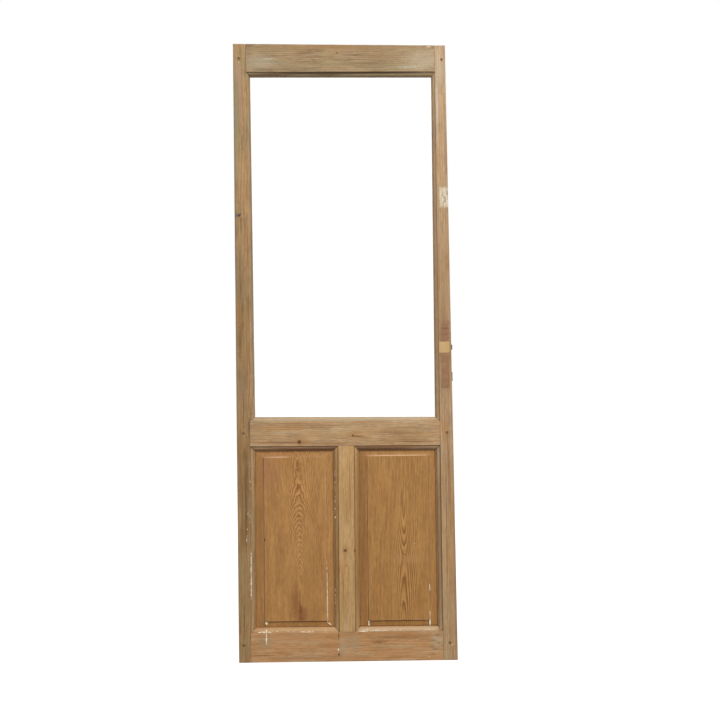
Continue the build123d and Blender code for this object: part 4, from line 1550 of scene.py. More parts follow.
@dataclass(frozen=True)
class PaintLine:
    """A thin ridge of old paint along a path, half sunk in the wood."""

    path: tuple[tuple[float, float, float], ...]
    width: float
    height: float
    seed: int
    step: float = 1.3

    def rings(self) -> np.ndarray:
        """Give the ridge's rings: ellipses that swell and thin along it and close at its ends.

        The middle of a ring wanders about the path. Its half width is half the ridge's, times
        (1 - (2 share - 1)^2)^0.35 at its share of the path, times seeded unevenness.
        """
        points = np.array(self.path, dtype=float)
        spans = np.linalg.norm(np.diff(points, axis=0), axis=1)
        travelled = np.concatenate(([0.0], np.cumsum(spans)))
        count = max(7, int(travelled[-1] / self.step))
        share = np.linspace(0, 1, count)
        at = share * travelled[-1]
        middle = np.stack([np.interp(at, travelled, points[:, axis]) for axis in range(3)], -1)
        draw = np.random.default_rng(self.seed)
        along = np.gradient(middle, axis=0)
        along /= np.maximum(np.linalg.norm(along, axis=1), 1e-6)[:, None]
        side = np.cross(along, np.array((0.0, -1.0, 0.0)))
        soft = np.convolve(draw.normal(size=count + 6), np.ones(4) / 2, "same")[3:-3]
        wander = np.convolve(draw.normal(size=count + 8), np.ones(7) / 7, "same")[4:-4]
        middle += side * (wander * 0.5)[:, None]
        close = np.maximum(1 - (2 * share - 1) ** 2, 0.004) ** 0.35
        size = close * np.clip(1.0 + 0.4 * soft, 0.3, 1.6)
        turns = np.linspace(0, 2 * math.pi, 8, endpoint=False)
        size = size[:, None, None]
        flat = side[:, None, :] * (np.cos(turns)[None, :, None] * (self.width / 2) * size)
        lift = np.array((0.0, -1.0, 0.0)) * (np.sin(turns)[None, :, None] * self.height * size)
        return middle[:, None, :] + flat + lift


@dataclass(frozen=True)
class FleckRun:
    """Flecks of old paint scattered between two points, thinner on the leaf's face."""

    start: tuple[float, float, float]
    end: tuple[float, float, float]
    count: int
    seed: int
    length: float = 5.0
    width: float = 1.1
    height: float = 0.4
    face_height: float = 0.1
    face_from: float = -19.5

    def lines(self) -> list[PaintLine]:
        """Draw the flecks, each as a short ridge that follows the run."""
        draw = np.random.default_rng(self.seed)
        first, last = np.array(self.start), np.array(self.end)
        way = (last - first) / np.linalg.norm(last - first)
        made = []
        for number in range(self.count):
            middle = first + (last - first) * draw.uniform(0, 1)
            half = way * self.length * draw.uniform(0.15, 0.9)
            width = self.width * draw.uniform(0.7, 1.5)
            height = self.face_height if middle[1] < self.face_from else self.height
            path = (tuple(middle - half), tuple(middle + half))
            made.append(PaintLine(path, width, height, self.seed * 100 + number))
        return made


# Finishes of everything but the pine


@dataclass(frozen=True)
class Stuff:
    """A plain stuff with cloudy unevenness: metal, putty, paint or a small piece of wood."""

    name: str
    base: Colour
    other: Colour
    cell: float
    stretch: float = 1.0
    roughness: float = 0.6
    metallic: float = 0.0
    relief: float = 0.1
    spread: float = 0.16

    def build(self) -> bpy.types.Material:
        """Make the material."""
        material, bench = new_material(self.name)
        x, y, z = bench.parts(bench.place())
        where = bench.vector(x / self.cell, y / self.cell, z / (self.cell * self.stretch))
        cloud = bench.noise(where, detail=4.0, rough=0.6)
        fine = bench.noise(where, scale=4.3, detail=2.0)
        share = bench.smooth(cloud + (fine - 0.5) * 0.35, 0.5 - self.spread, 0.5 + self.spread)
        colour = bench.mix(share, self.base, self.other)
        roughness = self.roughness + (fine - 0.5) * 0.2
        bench.finish(colour, roughness, cloud * 0.6 + fine * 0.4, self.relief, Metallic=self.metallic)
        return material


@dataclass(frozen=True)
class SheetGlass:
    """Old clear glass with a slight film of dust."""

    name: str = "sheet_glass"

    def build(self) -> bpy.types.Material:
        """Make the material."""
        material, bench = new_material(self.name)
        x, y, z = bench.parts(bench.place())
        film = bench.noise(bench.vector(x / 140.0, y, z / 260.0), detail=3.0)
        roughness = bench.smooth(film, 0.35, 0.8) * 0.05
        sockets = {"IOR": 1.47, "Transmission_Weight": 1.0, "Specular_IOR_Level": 0.42}
        bench.finish((0.98, 0.995, 0.985), roughness, **sockets)
        return material


# The studio


def stood(thing: Thing, *columns: Sequence[float]) -> None:
    """Turn and place an object by where its X, Y and Z point and where it stands, in metres."""
    turned = np.eye(4)
    turned[:3] = np.column_stack(columns)
    thing.matrix_world = Matrix(turned.tolist())


@dataclass(frozen=True)
class Viewpoint:
    """The camera, placed and turned to stand where the photograph was taken from."""

    place: tuple[float, float, float] = (10.43, -3420.0, 855.4)
    yaw: float = 0.0113
    pitch: float = 0.0291
    roll: float = -0.0106
    focal_pixels: float = 1065.9
    picture_pixels: float = 720.0
    sensor: float = 36.0

    def build(self) -> Thing:
        """Make the camera and make it the scene's own."""
        data = bpy.data.cameras.new("photo_camera")
        data.sensor_width = self.sensor
        data.lens = self.sensor * self.focal_pixels / self.picture_pixels
        data.clip_start, data.clip_end = 0.05, 60.0
        camera = bpy.data.objects.new("photo_camera", data)
        bpy.context.scene.collection.objects.link(camera)
        flat = math.cos(self.pitch)
        ahead = np.array((math.sin(self.yaw) * flat, math.cos(self.yaw) * flat, math.sin(self.pitch)))
        level = np.array((math.cos(self.yaw), -math.sin(self.yaw), 0.0))
        upright = np.cross(level, ahead)
        right = math.cos(self.roll) * level + math.sin(self.roll) * upright
        up = -math.sin(self.roll) * level + math.cos(self.roll) * upright
        stood(camera, right, up, -ahead, np.array(self.place) * MM)
        bpy.context.scene.camera = camera
        return camera


@dataclass(frozen=True)
class Lamp:
    """A soft square lamp that looks at a point. It isn't seen itself, straight or through glass."""

    name: str
    place: tuple[float, float, float]
    aim: tuple[float, float, float]
    size: float
    power: float

    def build(self) -> Thing:
        """Make the lamp."""
        data = bpy.data.lights.new(self.name, "AREA")
        data.shape = "SQUARE"
        data.size = self.size
        data.energy = self.power
        lamp = bpy.data.objects.new(self.name, data)
        lamp.visible_camera = lamp.visible_transmission = False
        bpy.context.scene.collection.objects.link(lamp)
        back = np.array(self.place) - np.array(self.aim)
        back = back / np.linalg.norm(back)
        side = np.cross((0.0, 0.0, 1.0), back)
        side = side / np.linalg.norm(side)
        stood(lamp, side, np.cross(back, side), back, self.place)
        return lamp


@dataclass(frozen=True)
class Studio:
    """A white studio: a pale floor, even light all round, and soft lamps."""

    around: float = 0.50
    seen: float = 1.0
    through_glass: float = 1.12
    white: Colour = (1.0, 1.0, 1.0)
    floor_colour: Colour = (0.24, 0.24, 0.24)
    floor_glow: float = 0.92
    floor_half: float = 14000.0
    floor_height: float = -0.4
    lamps: tuple[Lamp, ...] = (
        Lamp("key", (2.3, -3.5, 3.9), (0.0, 0.0, 1.0), 2.8, 181.0),
        Lamp("fill", (-3.0, -3.6, 2.2), (0.0, 0.0, 1.0), 2.6, 44.0),
        Lamp("back_high", (-1.6, 3.8, 3.4), (0.0, 0.0, 1.0), 2.6, 110.0),
        Lamp("back_right", (3.6, 2.2, 1.4), (0.0, 0.0, 1.0), 2.0, 40.0),
    )

    def build(self) -> list[Thing]:
        """Make the world, the floor and the lamps, and give what stands in the scene."""
        self._world()
        staged = [self._floor(), *(lamp.build() for lamp in self.lamps)]
        scene = bpy.context.scene
        scene.view_settings.view_transform = "Standard"
        return staged

    def _world(self) -> None:
        """Make a world that looks white but lights the leaf at a studio's level."""
        world = bpy.data.worlds.new("studio")
        world.use_nodes = True
        bpy.context.scene.world = world
        bench = Bench(world.node_tree)
        path = bench.node("ShaderNodeLightPath")
        seen = path["Is Camera Ray"]
        clear = path["Is Transmission Ray"]
        level = bench.maths("MAXIMUM", seen * self.seen, clear * self.through_glass)
        level = bench.maths("MAXIMUM", level, self.around)
        light = bench.node("ShaderNodeBackground", None, {"Color": self.white, "Strength": level})
        bench.node("ShaderNodeOutputWorld", None, {"Surface": light[0]})

    def _floor(self) -> Thing:
        """Make the floor: a wide plane that shows white but still takes the leaf's shadow."""
        half, height = self.floor_half, self.floor_height
        corners = ((-half, -half), (half, -half), (half, half), (-half, half))
        points = np.array([(*corner, height) for corner in corners])
        floor = made_object("studio_floor", points, [[0, 1, 2, 3]])
        material, bench = new_material("studio_floor")
        path = bench.node("ShaderNodeLightPath")
        shown = bench.maths("MAXIMUM", path["Is Camera Ray"], path["Is Transmission Ray"])
        matt = bench.node("ShaderNodeBsdfDiffuse", None, {"Color": self.floor_colour})
        glowing = {"Color": self.white, "Strength": shown * self.floor_glow}
        glow = bench.node("ShaderNodeEmission", None, glowing)
        both = bench.node("ShaderNodeAddShader", None, {0: matt[0], 1: glow[0]})
        bench.node("ShaderNodeOutputMaterial", None, {"Surface": both[0]})
        floor.data.materials.append(material)
        return floor


# The leaf's own finishes

GREEN_STREAK = Tint(srgb(142, 128, 90), (9.0, 190.0), 0.50, 0.60, 11.0)
ORANGE_STREAK = Tint(srgb(172, 118, 62), (11.0, 170.0), 0.42, 0.50, 37.0)
PALE_STREAK = Tint(srgb(196, 170, 134), (12.0, 180.0), 0.40, 0.50, 51.0)
BROWN_STREAK = Tint(srgb(120, 88, 54), (9.0, 120.0), 0.38, 0.55, 67.0)
PAINT_SPOT = srgb(236, 222, 196)
MAUVE_STREAK = Tint(srgb(150, 122, 104), (10.0, 140.0), 0.42, 0.45, 83.0)

STILE_LEFT = Pine(
    name="stile_left_pine",
    grain=Grain.UPRIGHT,
    early=srgb(184, 148, 104),
    late=srgb(126, 88, 48),
    pith=-420.0,
    ring=5.5,
    contrast=0.42,
    wobble=8.0,
    seed=1.0,
    tints=(GREEN_STREAK, ORANGE_STREAK, BROWN_STREAK),
    marks=(
        Mark((-337.0, 1790.0), (9.0, 150.0), srgb(142, 132, 98), 0.72, 0.8, 1.0),
        Mark((-326.0, 1790.0), (5.0, 110.0), srgb(178, 132, 112), 0.62, 0.8, 1.0),
        Mark((-333.0, 1885.0), (12.0, 36.0), srgb(186, 148, 124), 0.4, 0.9, 0.8),
        Mark((-346.5, 1300.0), (4.2, 660.0), srgb(124, 106, 92), 0.8, 0.9, 0.4, Shape.SQUARE),
        Mark((-294.5, 1320.0), (4.0, 560.0), srgb(140, 122, 106), 0.7, 0.8, 0.4, Shape.SQUARE),
        Mark((-336.0, 1110.0), (5.0, 60.0), srgb(164, 112, 52), 0.75, 0.8, 0.7),
        Mark((-330.0, 1185.0), (3.0, 44.0), srgb(96, 74, 42), 0.75, 0.8, 0.8),
        Mark((-326.0, 1120.0), (3.0, 50.0), srgb(104, 82, 46), 0.65, 0.8, 0.9),
        Mark((-332.0, 1020.0), (9.0, 60.0), srgb(112, 88, 50), 0.68, 0.8, 1.1),
        Mark((-326.0, 1010.0), (2.6, 40.0), srgb(170, 150, 118), 0.6, 0.8, 0.9),
        Mark((-308.0, 985.0), (8.0, 44.0), srgb(172, 118, 78), 0.6, 0.8, 0.8),
        Mark((-328.0, 880.0), (11.0, 80.0), srgb(150, 126, 106), 0.62, 0.8, 1.0),
        Mark((-323.0, 800.0), (2.6, 60.0), srgb(100, 74, 42), 0.55, 0.8, 0.7),
        Mark((-306.0, 745.0), (5.0, 34.0), srgb(92, 66, 34), 0.6, 0.8, 0.9),
        Mark((-336.0, 300.0), (5.0, 60.0), srgb(154, 140, 92), 0.65, 0.8, 1.0),
        Mark((-318.0, 250.0), (6.0, 100.0), srgb(166, 138, 92), 0.65, 0.8, 1.0),
        Mark((-336.0, 590.0), (6.0, 110.0), srgb(128, 96, 56), 0.6, 0.8, 0.9),
        Mark((-330.0, 480.0), (2.4, 110.0), srgb(84, 60, 32), 0.6, 0.8, 0.8),
        Mark((-326.0, 120.0), (2.4, 90.0), srgb(92, 66, 36), 0.55, 0.8, 0.7),
        Mark((-328.0, 700.0), (34.0, 900.0), srgb(134, 100, 56), 0.36, 0.7, 0.2, Shape.SQUARE),
        Mark((-316.0, 560.0), (10.0, 150.0), srgb(98, 72, 38), 0.5, 0.9, 0.5),
        Mark((-330.0, 1240.0), (9.0, 120.0), srgb(122, 108, 84), 0.5, 0.9, 0.4),
        Mark((-322.0, 655.0), (7.0, 26.0), srgb(106, 78, 40), 0.5, 0.9, 0.5),
        Mark((-325.0, 400.0), (12.0, 60.0), srgb(120, 84, 44), 0.5, 0.9, 0.5),
        Mark((-340.0, 1640.0), (8.0, 190.0), srgb(150, 140, 104), 0.45, 0.9, 0.4),
        Mark((-344.6, 1421.7), (4.0, 9.0), srgb(92, 92, 96), 0.8, 0.8),
        Mark((-334.7, 1421.6), (5.0, 6.0), srgb(60, 52, 50), 0.85, 0.6),
        Mark((-322.3, 1417.6), (7.0, 6.0), srgb(190, 140, 120), 0.5, 0.8),
        Mark((-318.0, 447.0), (1.6, 130.0), srgb(70, 42, 20), 0.8, 0.9, 0.2),
        Mark((-329.3, 78.4), (2.4, 7.0), srgb(96, 68, 38), 0.4, 0.7),
        Mark((-330.8, 1915.1), (2.6, 3.6), srgb(214, 184, 150), 0.6, 0.6),
        Mark((-324.0, 717.3), (3.0, 3.0), srgb(186, 150, 108), 0.45, 0.7),
    ),
)
STILE_RIGHT = Pine(
    name="stile_right_pine",
    grain=Grain.UPRIGHT,
    early=srgb(188, 157, 118),
    late=srgb(132, 94, 54),
    pith=430.0,
    ring=6.0,
    contrast=0.40,
    wobble=9.0,
    seed=2.0,
    tints=(PALE_STREAK, MAUVE_STREAK, ORANGE_STREAK),
    marks=(
        Mark((315.0, 1120.0), (26.0, 330.0), srgb(150, 112, 74), 0.50, 0.8, 0.2, Shape.SQUARE),
        Mark((346.0, 330.0), (5.0, 420.0), srgb(142, 100, 78), 0.55, 0.9, 0.3, Shape.SQUARE),
        Mark((309.0, 300.0), (5.0, 330.0), srgb(184, 154, 104), 0.5, 0.8, 0.4, Shape.SQUARE),
        Mark((319.0, 420.0), (1.8, 260.0), srgb(96, 68, 38), 0.6, 0.9, 0.6),
        Mark((327.0, 640.0), (1.6, 90.0), srgb(88, 60, 34), 0.6, 0.9, 0.6),
        Mark((331.0, 360.0), (16.0, 330.0), srgb(166, 118, 64), 0.45, 0.9, 0.3),
        Mark((330.0, 560.0), (5.0, 90.0), srgb(132, 86, 50), 0.5, 0.9, 0.4),
        Mark((295.0, 1330.0), (6.5, 560.0), srgb(146, 120, 96), 0.45, 0.5, 0.2, Shape.SQUARE),
        Mark((321.0, 1040.0), (15.0, 38.0), srgb(148, 106, 76), 0.8, 0.3, 0.5, Shape.SQUARE),
        Mark((321.0, 918.0), (15.0, 58.0), srgb(146, 104, 72), 0.8, 0.3, 0.5, Shape.SQUARE),
        Mark((321.0, 1053.0), (12.0, 3.0), srgb(112, 76, 52), 0.6, 0.8, 1.0),
        Mark((321.0, 1034.0), (12.0, 2.4), srgb(120, 82, 56), 0.55, 0.8, 1.0),
        Mark((316.0, 936.0), (8.0, 10.0), srgb(170, 132, 94), 0.6, 0.9, 1.2),
        Mark((322.0, 900.0), (9.0, 8.0), srgb(164, 124, 86), 0.6, 0.9, 1.2),
        Mark((321.0, 866.0), (13.0, 4.0), srgb(118, 78, 52), 0.6, 0.9, 0.9),
        Mark((325.0, 1474.5), (16.6, 33.0), srgb(224, 212, 188), 0.95, 0.25, 0.5, Shape.SQUARE, 0.45),
        Mark((327.0, 1468.0), (2.2, 14.0), srgb(112, 90, 64), 0.75, 0.8, 1.2),
        Mark((318.0, 1484.0), (1.8, 12.0), srgb(126, 100, 70), 0.7, 0.8, 1.2),
        Mark((322.0, 1456.0), (1.6, 8.0), srgb(130, 106, 76), 0.6, 0.8, 1.2),
        Mark((334.0, 1488.0), (2.0, 12.0), srgb(106, 84, 60), 0.75, 0.8, 1.2),
        Mark((305.0, 1760.0), (4.4, 130.0), srgb(204, 190, 164), 0.7, 0.8, 0.8),
        Mark((314.0, 1780.0), (4.0, 50.0), srgb(196, 150, 134), 0.5, 0.8, 0.8),
        Mark((309.0, 1180.0), (3.0, 120.0), srgb(178, 146, 96), 0.55, 0.8, 0.8),
        Mark((330.0, 1600.0), (4.0, 90.0), srgb(150, 120, 106), 0.5, 0.8, 0.8),
        Mark((296.5, 390.0), (7.5, 280.0), srgb(126, 86, 46), 0.5, 0.7, 0.3, Shape.SQUARE),
        Mark((316.0, 1890.0), (16.0, 70.0), srgb(204, 188, 160), 0.4, 0.9, 0.8),
        Mark((332.8, 48.9), (3.2, 3.8), srgb(222, 180, 128), 0.7, 0.5),
    ),
)
TOP_RAIL = Pine(
    name="top_rail_pine",
    grain=Grain.ACROSS,
    early=srgb(168, 141, 104),
    late=srgb(114, 88, 54),
    pith=2060.0,
    ring=5.5,
    contrast=0.32,
    wobble=9.0,
    seed=3.0,
    tints=(GREEN_STREAK, BROWN_STREAK),
    dashes=0.66,
    marks=(
        # Painted shade: a dark band on the quirk and ovolo under the top rail, which face down.
        Mark((-2.0, 1879.0), (312.0, 3.8), srgb(60, 42, 20), 0.9, 0.6, 0.2, Shape.SQUARE),
        Mark((-236.0, 1926.0), (26.0, 3.0), srgb(192, 184, 166), 0.6, 0.8, 0.8),
        Mark((-200.0, 1911.0), (40.0, 5.0), srgb(148, 140, 116), 0.5, 0.8, 0.9),
        Mark((-252.0, 1892.0), (34.0, 4.0), srgb(112, 98, 66), 0.55, 0.8, 0.8),
        Mark((-80.0, 1932.0), (66.0, 2.6), srgb(116, 88, 54), 0.55, 0.8, 0.8),
        Mark((-110.0, 1916.0), (48.0, 3.0), srgb(112, 84, 50), 0.55, 0.8, 0.8),
        Mark((70.0, 1948.0), (90.0, 3.0), srgb(152, 106, 66), 0.5, 0.8, 0.8),
        Mark((120.0, 1931.0), (58.0, 9.0), srgb(142, 108, 64), 0.45, 0.8, 0.8),
        Mark((96.0, 1897.0), (70.0, 4.0), srgb(124, 116, 84), 0.5, 0.8, 0.8),
        Mark((214.0, 1896.0), (52.0, 6.0), srgb(186, 178, 154), 0.6, 0.8, 0.9),
        Mark((-30.0, 1963.0), (270.0, 9.0), srgb(158, 112, 66), 0.5, 0.9, 0.6),
        Mark((60.0, 1908.0), (120.0, 7.0), srgb(122, 104, 68), 0.45, 0.9, 0.6),
        Mark((-160.0, 1893.0), (70.0, 6.0), srgb(130, 118, 84), 0.5, 0.9, 0.6),
        Mark((-266.0, 1916.0), (50.0, 26.0), srgb(176, 168, 146), 0.42, 0.9, 1.1),
        Mark((268.0, 1918.0), (64.0, 34.0), srgb(200, 184, 156), 0.45, 0.9, 1.1),
        Mark((281.0, 1962.0), (8.0, 3.4), srgb(214, 190, 158), 0.7, 0.5),
    ),
    knots=(Knot((-15.6, 1943.3), 3.2, 5.0),),
)
MIDDLE_RAIL = Pine(
    name="middle_rail_pine",
    grain=Grain.ACROSS,
    early=srgb(188, 152, 108),
    late=srgb(130, 90, 50),
    pith=860.0,
    ring=5.0,
    contrast=0.38,
    wobble=8.0,
    seed=4.0,
    tints=(PALE_STREAK, ORANGE_STREAK, MAUVE_STREAK),
    marks=(
        # Painted highlight: a pale greyish band on the middle rail's glazed moulding, which faces up.
        Mark((0.0, 766.0), (300.0, 6.0), srgb(184, 168, 138), 0.6, 0.4, 0.3, Shape.SQUARE),
        Mark((165.0, 722.0), (64.0, 10.0), srgb(138, 108, 78), 0.5, 0.9, 0.6),
        Mark((222.0, 693.0), (84.0, 2.6), srgb(118, 74, 40), 0.65, 0.8, 0.5),
        Mark((196.0, 699.0), (60.0, 2.0), srgb(128, 86, 50), 0.5, 0.8, 0.5),
        Mark((-205.0, 694.0), (90.0, 2.4), srgb(122, 76, 42), 0.6, 0.8, 0.5),
        Mark((-70.0, 690.0), (90.0, 2.2), srgb(128, 82, 46), 0.5, 0.8, 0.5),
        # Painted shade, with a redder brown: a dark band on the moulding under the middle rail, which faces
        # down.
        Mark((-20.0, 672.0), (300.0, 8.0), srgb(112, 68, 40), 0.66, 0.6, 0.3, Shape.SQUARE),
        Mark((40.0, 711.5), (22.0, 3.6), srgb(132, 80, 44), 0.7, 0.9),
        Mark((196.0, 738.0), (60.0, 5.0), srgb(128, 106, 84), 0.45, 0.8, 0.9),
        Mark((-60.0, 748.0), (120.0, 3.0), srgb(150, 124, 86), 0.5, 0.8, 0.8),
    ),
    knots=(Knot((-147.4, 694.6), 7.2, 9.0, 0.95), Knot((24.0, 713.8), 4.4, 7.0)),
)
BOTTOM_RAIL = Pine(
    name="bottom_rail_pine",
    grain=Grain.ACROSS,
    early=srgb(194, 147, 99),
    late=srgb(140, 94, 52),
    pith=-90.0,
    ring=5.0,
    contrast=0.34,
    wobble=6.0,
    seed=5.0,
    tints=(PALE_STREAK, ORANGE_STREAK),
    marks=(
        # Painted highlight, partly paler weathered wood: pale bands on the mouldings above the bottom rail,
        # which face up.
        Mark((-160.0, 99.0), (134.0, 7.0), srgb(198, 158, 112), 0.75, 0.3, 0.3, Shape.SQUARE),
        Mark((162.0, 99.0), (138.0, 7.0), srgb(202, 172, 134), 0.8, 0.3, 0.3, Shape.SQUARE),
        Mark((150.0, 74.0), (100.0, 7.0), srgb(142, 104, 66), 0.5, 0.9, 0.8),
        Mark((100.0, 60.0), (24.0, 4.0), srgb(120, 82, 48), 0.55, 0.8, 0.9),
        Mark((-262.0, 62.0), (22.0, 20.0), srgb(164, 146, 110), 0.5, 0.9, 1.1),
        Mark((-270.0, 22.0), (36.0, 3.0), srgb(118, 82, 46), 0.6, 0.8, 0.8),
        Mark((-150.0, 12.0), (120.0, 5.0), srgb(150, 98, 52), 0.4, 0.9, 0.6),
        Mark((-15.0, 46.0), (14.0, 34.0), srgb(178, 160, 134), 0.55, 0.8, 0.9),
        Mark((18.0, 60.0), (22.0, 28.0), srgb(172, 150, 118), 0.55, 0.8, 0.9),
        Mark((-28.0, 84.0), (2.0, 16.0), srgb(70, 46, 24), 0.7, 0.8, 0.8),
        Mark((284.0, 62.0), (22.0, 30.0), srgb(194, 172, 140), 0.6, 0.8, 0.9),
        Mark((284.0, 80.0), (9.0, 4.0), srgb(108, 82, 54), 0.55, 0.9, 1.8),
        Mark((272.0, 63.0), (12.0, 3.4), srgb(116, 88, 58), 0.5, 0.9, 1.8),
        Mark((288.0, 55.0), (6.0, 3.0), srgb(104, 78, 50), 0.5, 0.9, 1.8),
        Mark((267.0, 44.0), (8.0, 3.0), srgb(124, 94, 62), 0.5, 0.9, 1.8),
        Mark((280.0, 36.0), (10.0, 3.4), srgb(112, 84, 54), 0.5, 0.9, 1.8),
        Mark((268.0, 20.0), (9.0, 2.6), srgb(116, 86, 54), 0.45, 0.9, 1.8),
        Mark((294.0, 98.0), (7.0, 9.0), srgb(84, 62, 40), 0.5, 0.9, 1.4),
        Mark((258.7, 11.6), (1.6, 1.6), PAINT_SPOT, 0.95, 0.3, 0.2),
        Mark((-29.2, 38.3), (1.5, 1.5), PAINT_SPOT, 0.95, 0.3, 0.2),
    ),
    knots=(Knot((-27.5, 22.6), 4.6, 9.0),),
)
MUNTIN = Pine(
    name="muntin_pine",
    grain=Grain.UPRIGHT,
    early=srgb(196, 156, 102),
    late=srgb(146, 100, 54),
    pith=-90.0,
    ring=5.0,
    contrast=0.34,
    wobble=7.0,
    seed=6.0,
    tints=(PALE_STREAK, ORANGE_STREAK),
    marks=(
        Mark((-31.0, 380.0), (7.5, 300.0), srgb(136, 94, 48), 0.55, 0.5, 0.2, Shape.SQUARE),
        Mark((33.5, 380.0), (8.0, 300.0), srgb(150, 104, 52), 0.6, 0.6, 0.3, Shape.SQUARE),
        Mark((12.0, 560.0), (3.0, 80.0), srgb(146, 104, 60), 0.5, 0.8, 0.8),
        Mark((14.0, 260.0), (6.0, 90.0), srgb(190, 160, 108), 0.5, 0.8, 0.8),
        Mark((-12.0, 230.0), (3.0, 60.0), srgb(134, 92, 50), 0.5, 0.8, 0.8),
        Mark((6.0, 490.0), (14.0, 60.0), srgb(164, 118, 66), 0.4, 0.9, 0.5),
        Mark((-4.0, 180.0), (16.0, 50.0), srgb(170, 126, 74), 0.4, 0.9, 0.5),
        Mark((45.7, 524.4), (1.9, 1.9), PAINT_SPOT, 0.95, 0.3, 0.2),
    ),
    knots=(Knot((-4.5, 349.9), 5.5, 9.0), Knot((26.5, 348.3), 3.6, 4.0), Knot((-2.5, 301.0), 3.0, 4.0, 0.4)),
)
FIELD_LEFT = Pine(
    name="panel_left_pine",
    grain=Grain.UPRIGHT,
    early=srgb(190, 140, 82),
    late=srgb(128, 82, 37),
    pith=-150.0,
    depths=((105.0, 3.0), (250.0, 7.0), (300.0, 12.0), (500.0, 50.0), (560.0, 57.0), (670.0, 62.0)),
    ring=3.1,
    curl=1.0,
    contrast=0.8,
    wobble=5.0,
    seed=7.0,
    tints=(ORANGE_STREAK,),
    marks=(
        # Painted highlight along the field's top arris, and painted shadow under the field's foot.
        Mark((-222.0, 647.2), (40.0, 1.6), srgb(226, 184, 150), 0.75, 0.5, 0.3, Shape.SQUARE),
        Mark((-150.0, 125.4), (112.0, 1.2), srgb(84, 52, 26), 0.6, 0.5, 0.3, Shape.SQUARE),
        Mark((-164.0, 184.0), (15.0, 60.0), srgb(142, 82, 46), 0.62, 0.8, 0.6),
        Mark((-140.0, 150.0), (16.0, 26.0), srgb(136, 76, 42), 0.6, 0.8, 0.7),
        Mark((-148.0, 160.0), (5.0, 24.0), srgb(104, 56, 30), 0.62, 0.8, 0.6),
        Mark((-148.0, 134.0), (13.0, 5.0), srgb(112, 64, 34), 0.5, 0.8, 0.9),
        Mark((-240.0, 600.0), (34.0, 60.0), srgb(172, 118, 84), 0.4, 0.9, 0.6),
        # Partly painted shade, partly a browner tone: the field's left margin, which slopes away from the
        # light.
        Mark((-275.0, 400.0), (13.0, 300.0), srgb(136, 92, 56), 0.4, 0.9, 0.3),
        Mark((-260.0, 385.0), (2.0, 6.0), srgb(70, 42, 20), 0.9, 0.5),
    ),
)
FIELD_RIGHT = Pine(
    name="panel_right_pine",
    grain=Grain.UPRIGHT,
    early=srgb(187, 138, 78),
    late=srgb(127, 81, 37),
    pith=181.0,
    depths=((105.0, 2.0), (335.0, 19.0), (420.0, 11.0), (520.0, 5.0), (670.0, 2.0)),
    ring=4.3,
    curl=0.5,
    contrast=0.85,
    wobble=5.0,
    seed=8.0,
    tints=(ORANGE_STREAK,),
    marks=(
        # Painted highlight along the field's top arris, and painted shadow under the field's foot.
        Mark((165.0, 649.1), (98.0, 1.6), srgb(232, 190, 150), 0.8, 0.5, 0.3, Shape.SQUARE),
        Mark((165.0, 124.6), (97.0, 1.2), srgb(84, 52, 26), 0.6, 0.5, 0.3, Shape.SQUARE),
        # Partly painted shade, partly a browner tone: the field's left margin, which slopes away from the
        # light.
        Mark((53.0, 380.0), (11.0, 280.0), srgb(128, 82, 46), 0.45, 0.7, 0.3, Shape.SQUARE),
        Mark((200.0, 322.0), (66.0, 18.0), srgb(190, 146, 96), 0.35, 0.9, 0.4),
        Mark((178.0, 507.0), (6.0, 34.0), srgb(120, 76, 40), 0.5, 0.8, 0.2),
        Mark((185.0, 341.2), (1.5, 1.5), srgb(230, 210, 180), 0.9, 0.3, 0.2),
        Mark((216.3, 369.0), (1.5, 1.5), srgb(230, 210, 180), 0.9, 0.3, 0.2),
    ),
)
BEAD_PINE = Pine(
    name="bead_pine",
    grain=Grain.UPRIGHT,
    early=srgb(186, 152, 110),
    late=srgb(136, 98, 58),
    pith=-420.0,
    contrast=0.4,
    seed=9.0,
    tints=(GREEN_STREAK,),
)
RAIL_BEAD_PINE = replace(BEAD_PINE, name="rail_bead_pine", grain=Grain.ACROSS, pith=2060.0, seed=10.0)
PEG_OAK = Stuff("peg_oak", srgb(150, 110, 72), srgb(112, 76, 46), 2.2, 1.0, 0.7, 0.0, 0.2)
WEDGE_OAK = Stuff("wedge_oak", srgb(124, 88, 54), srgb(74, 50, 28), 2.5, 1.0, 0.7, 0.0, 0.2)
PATCH_WOOD = Stuff("patch_wood", srgb(208, 176, 120), srgb(192, 152, 96), 1.6, 16.0, 0.62, 0.0, 0.12)
OLD_PUTTY = Stuff("old_putty", srgb(196, 186, 164), srgb(164, 148, 120), 7.0, 1.0, 0.85, 0.0, 0.2)
OLD_IRON = Stuff("old_iron", srgb(58, 48, 42), srgb(112, 68, 42), 4.0, 1.0, 0.72, 0.45, 0.25)
SCREW_STEEL = Stuff("screw_steel", srgb(120, 110, 98), srgb(84, 66, 50), 2.0, 1.0, 0.48, 0.85, 0.1)
OLD_PAINT = Stuff("old_paint", srgb(255, 246, 220), srgb(248, 232, 200), 2.0, 1.0, 0.6, 0.0, 0.1)

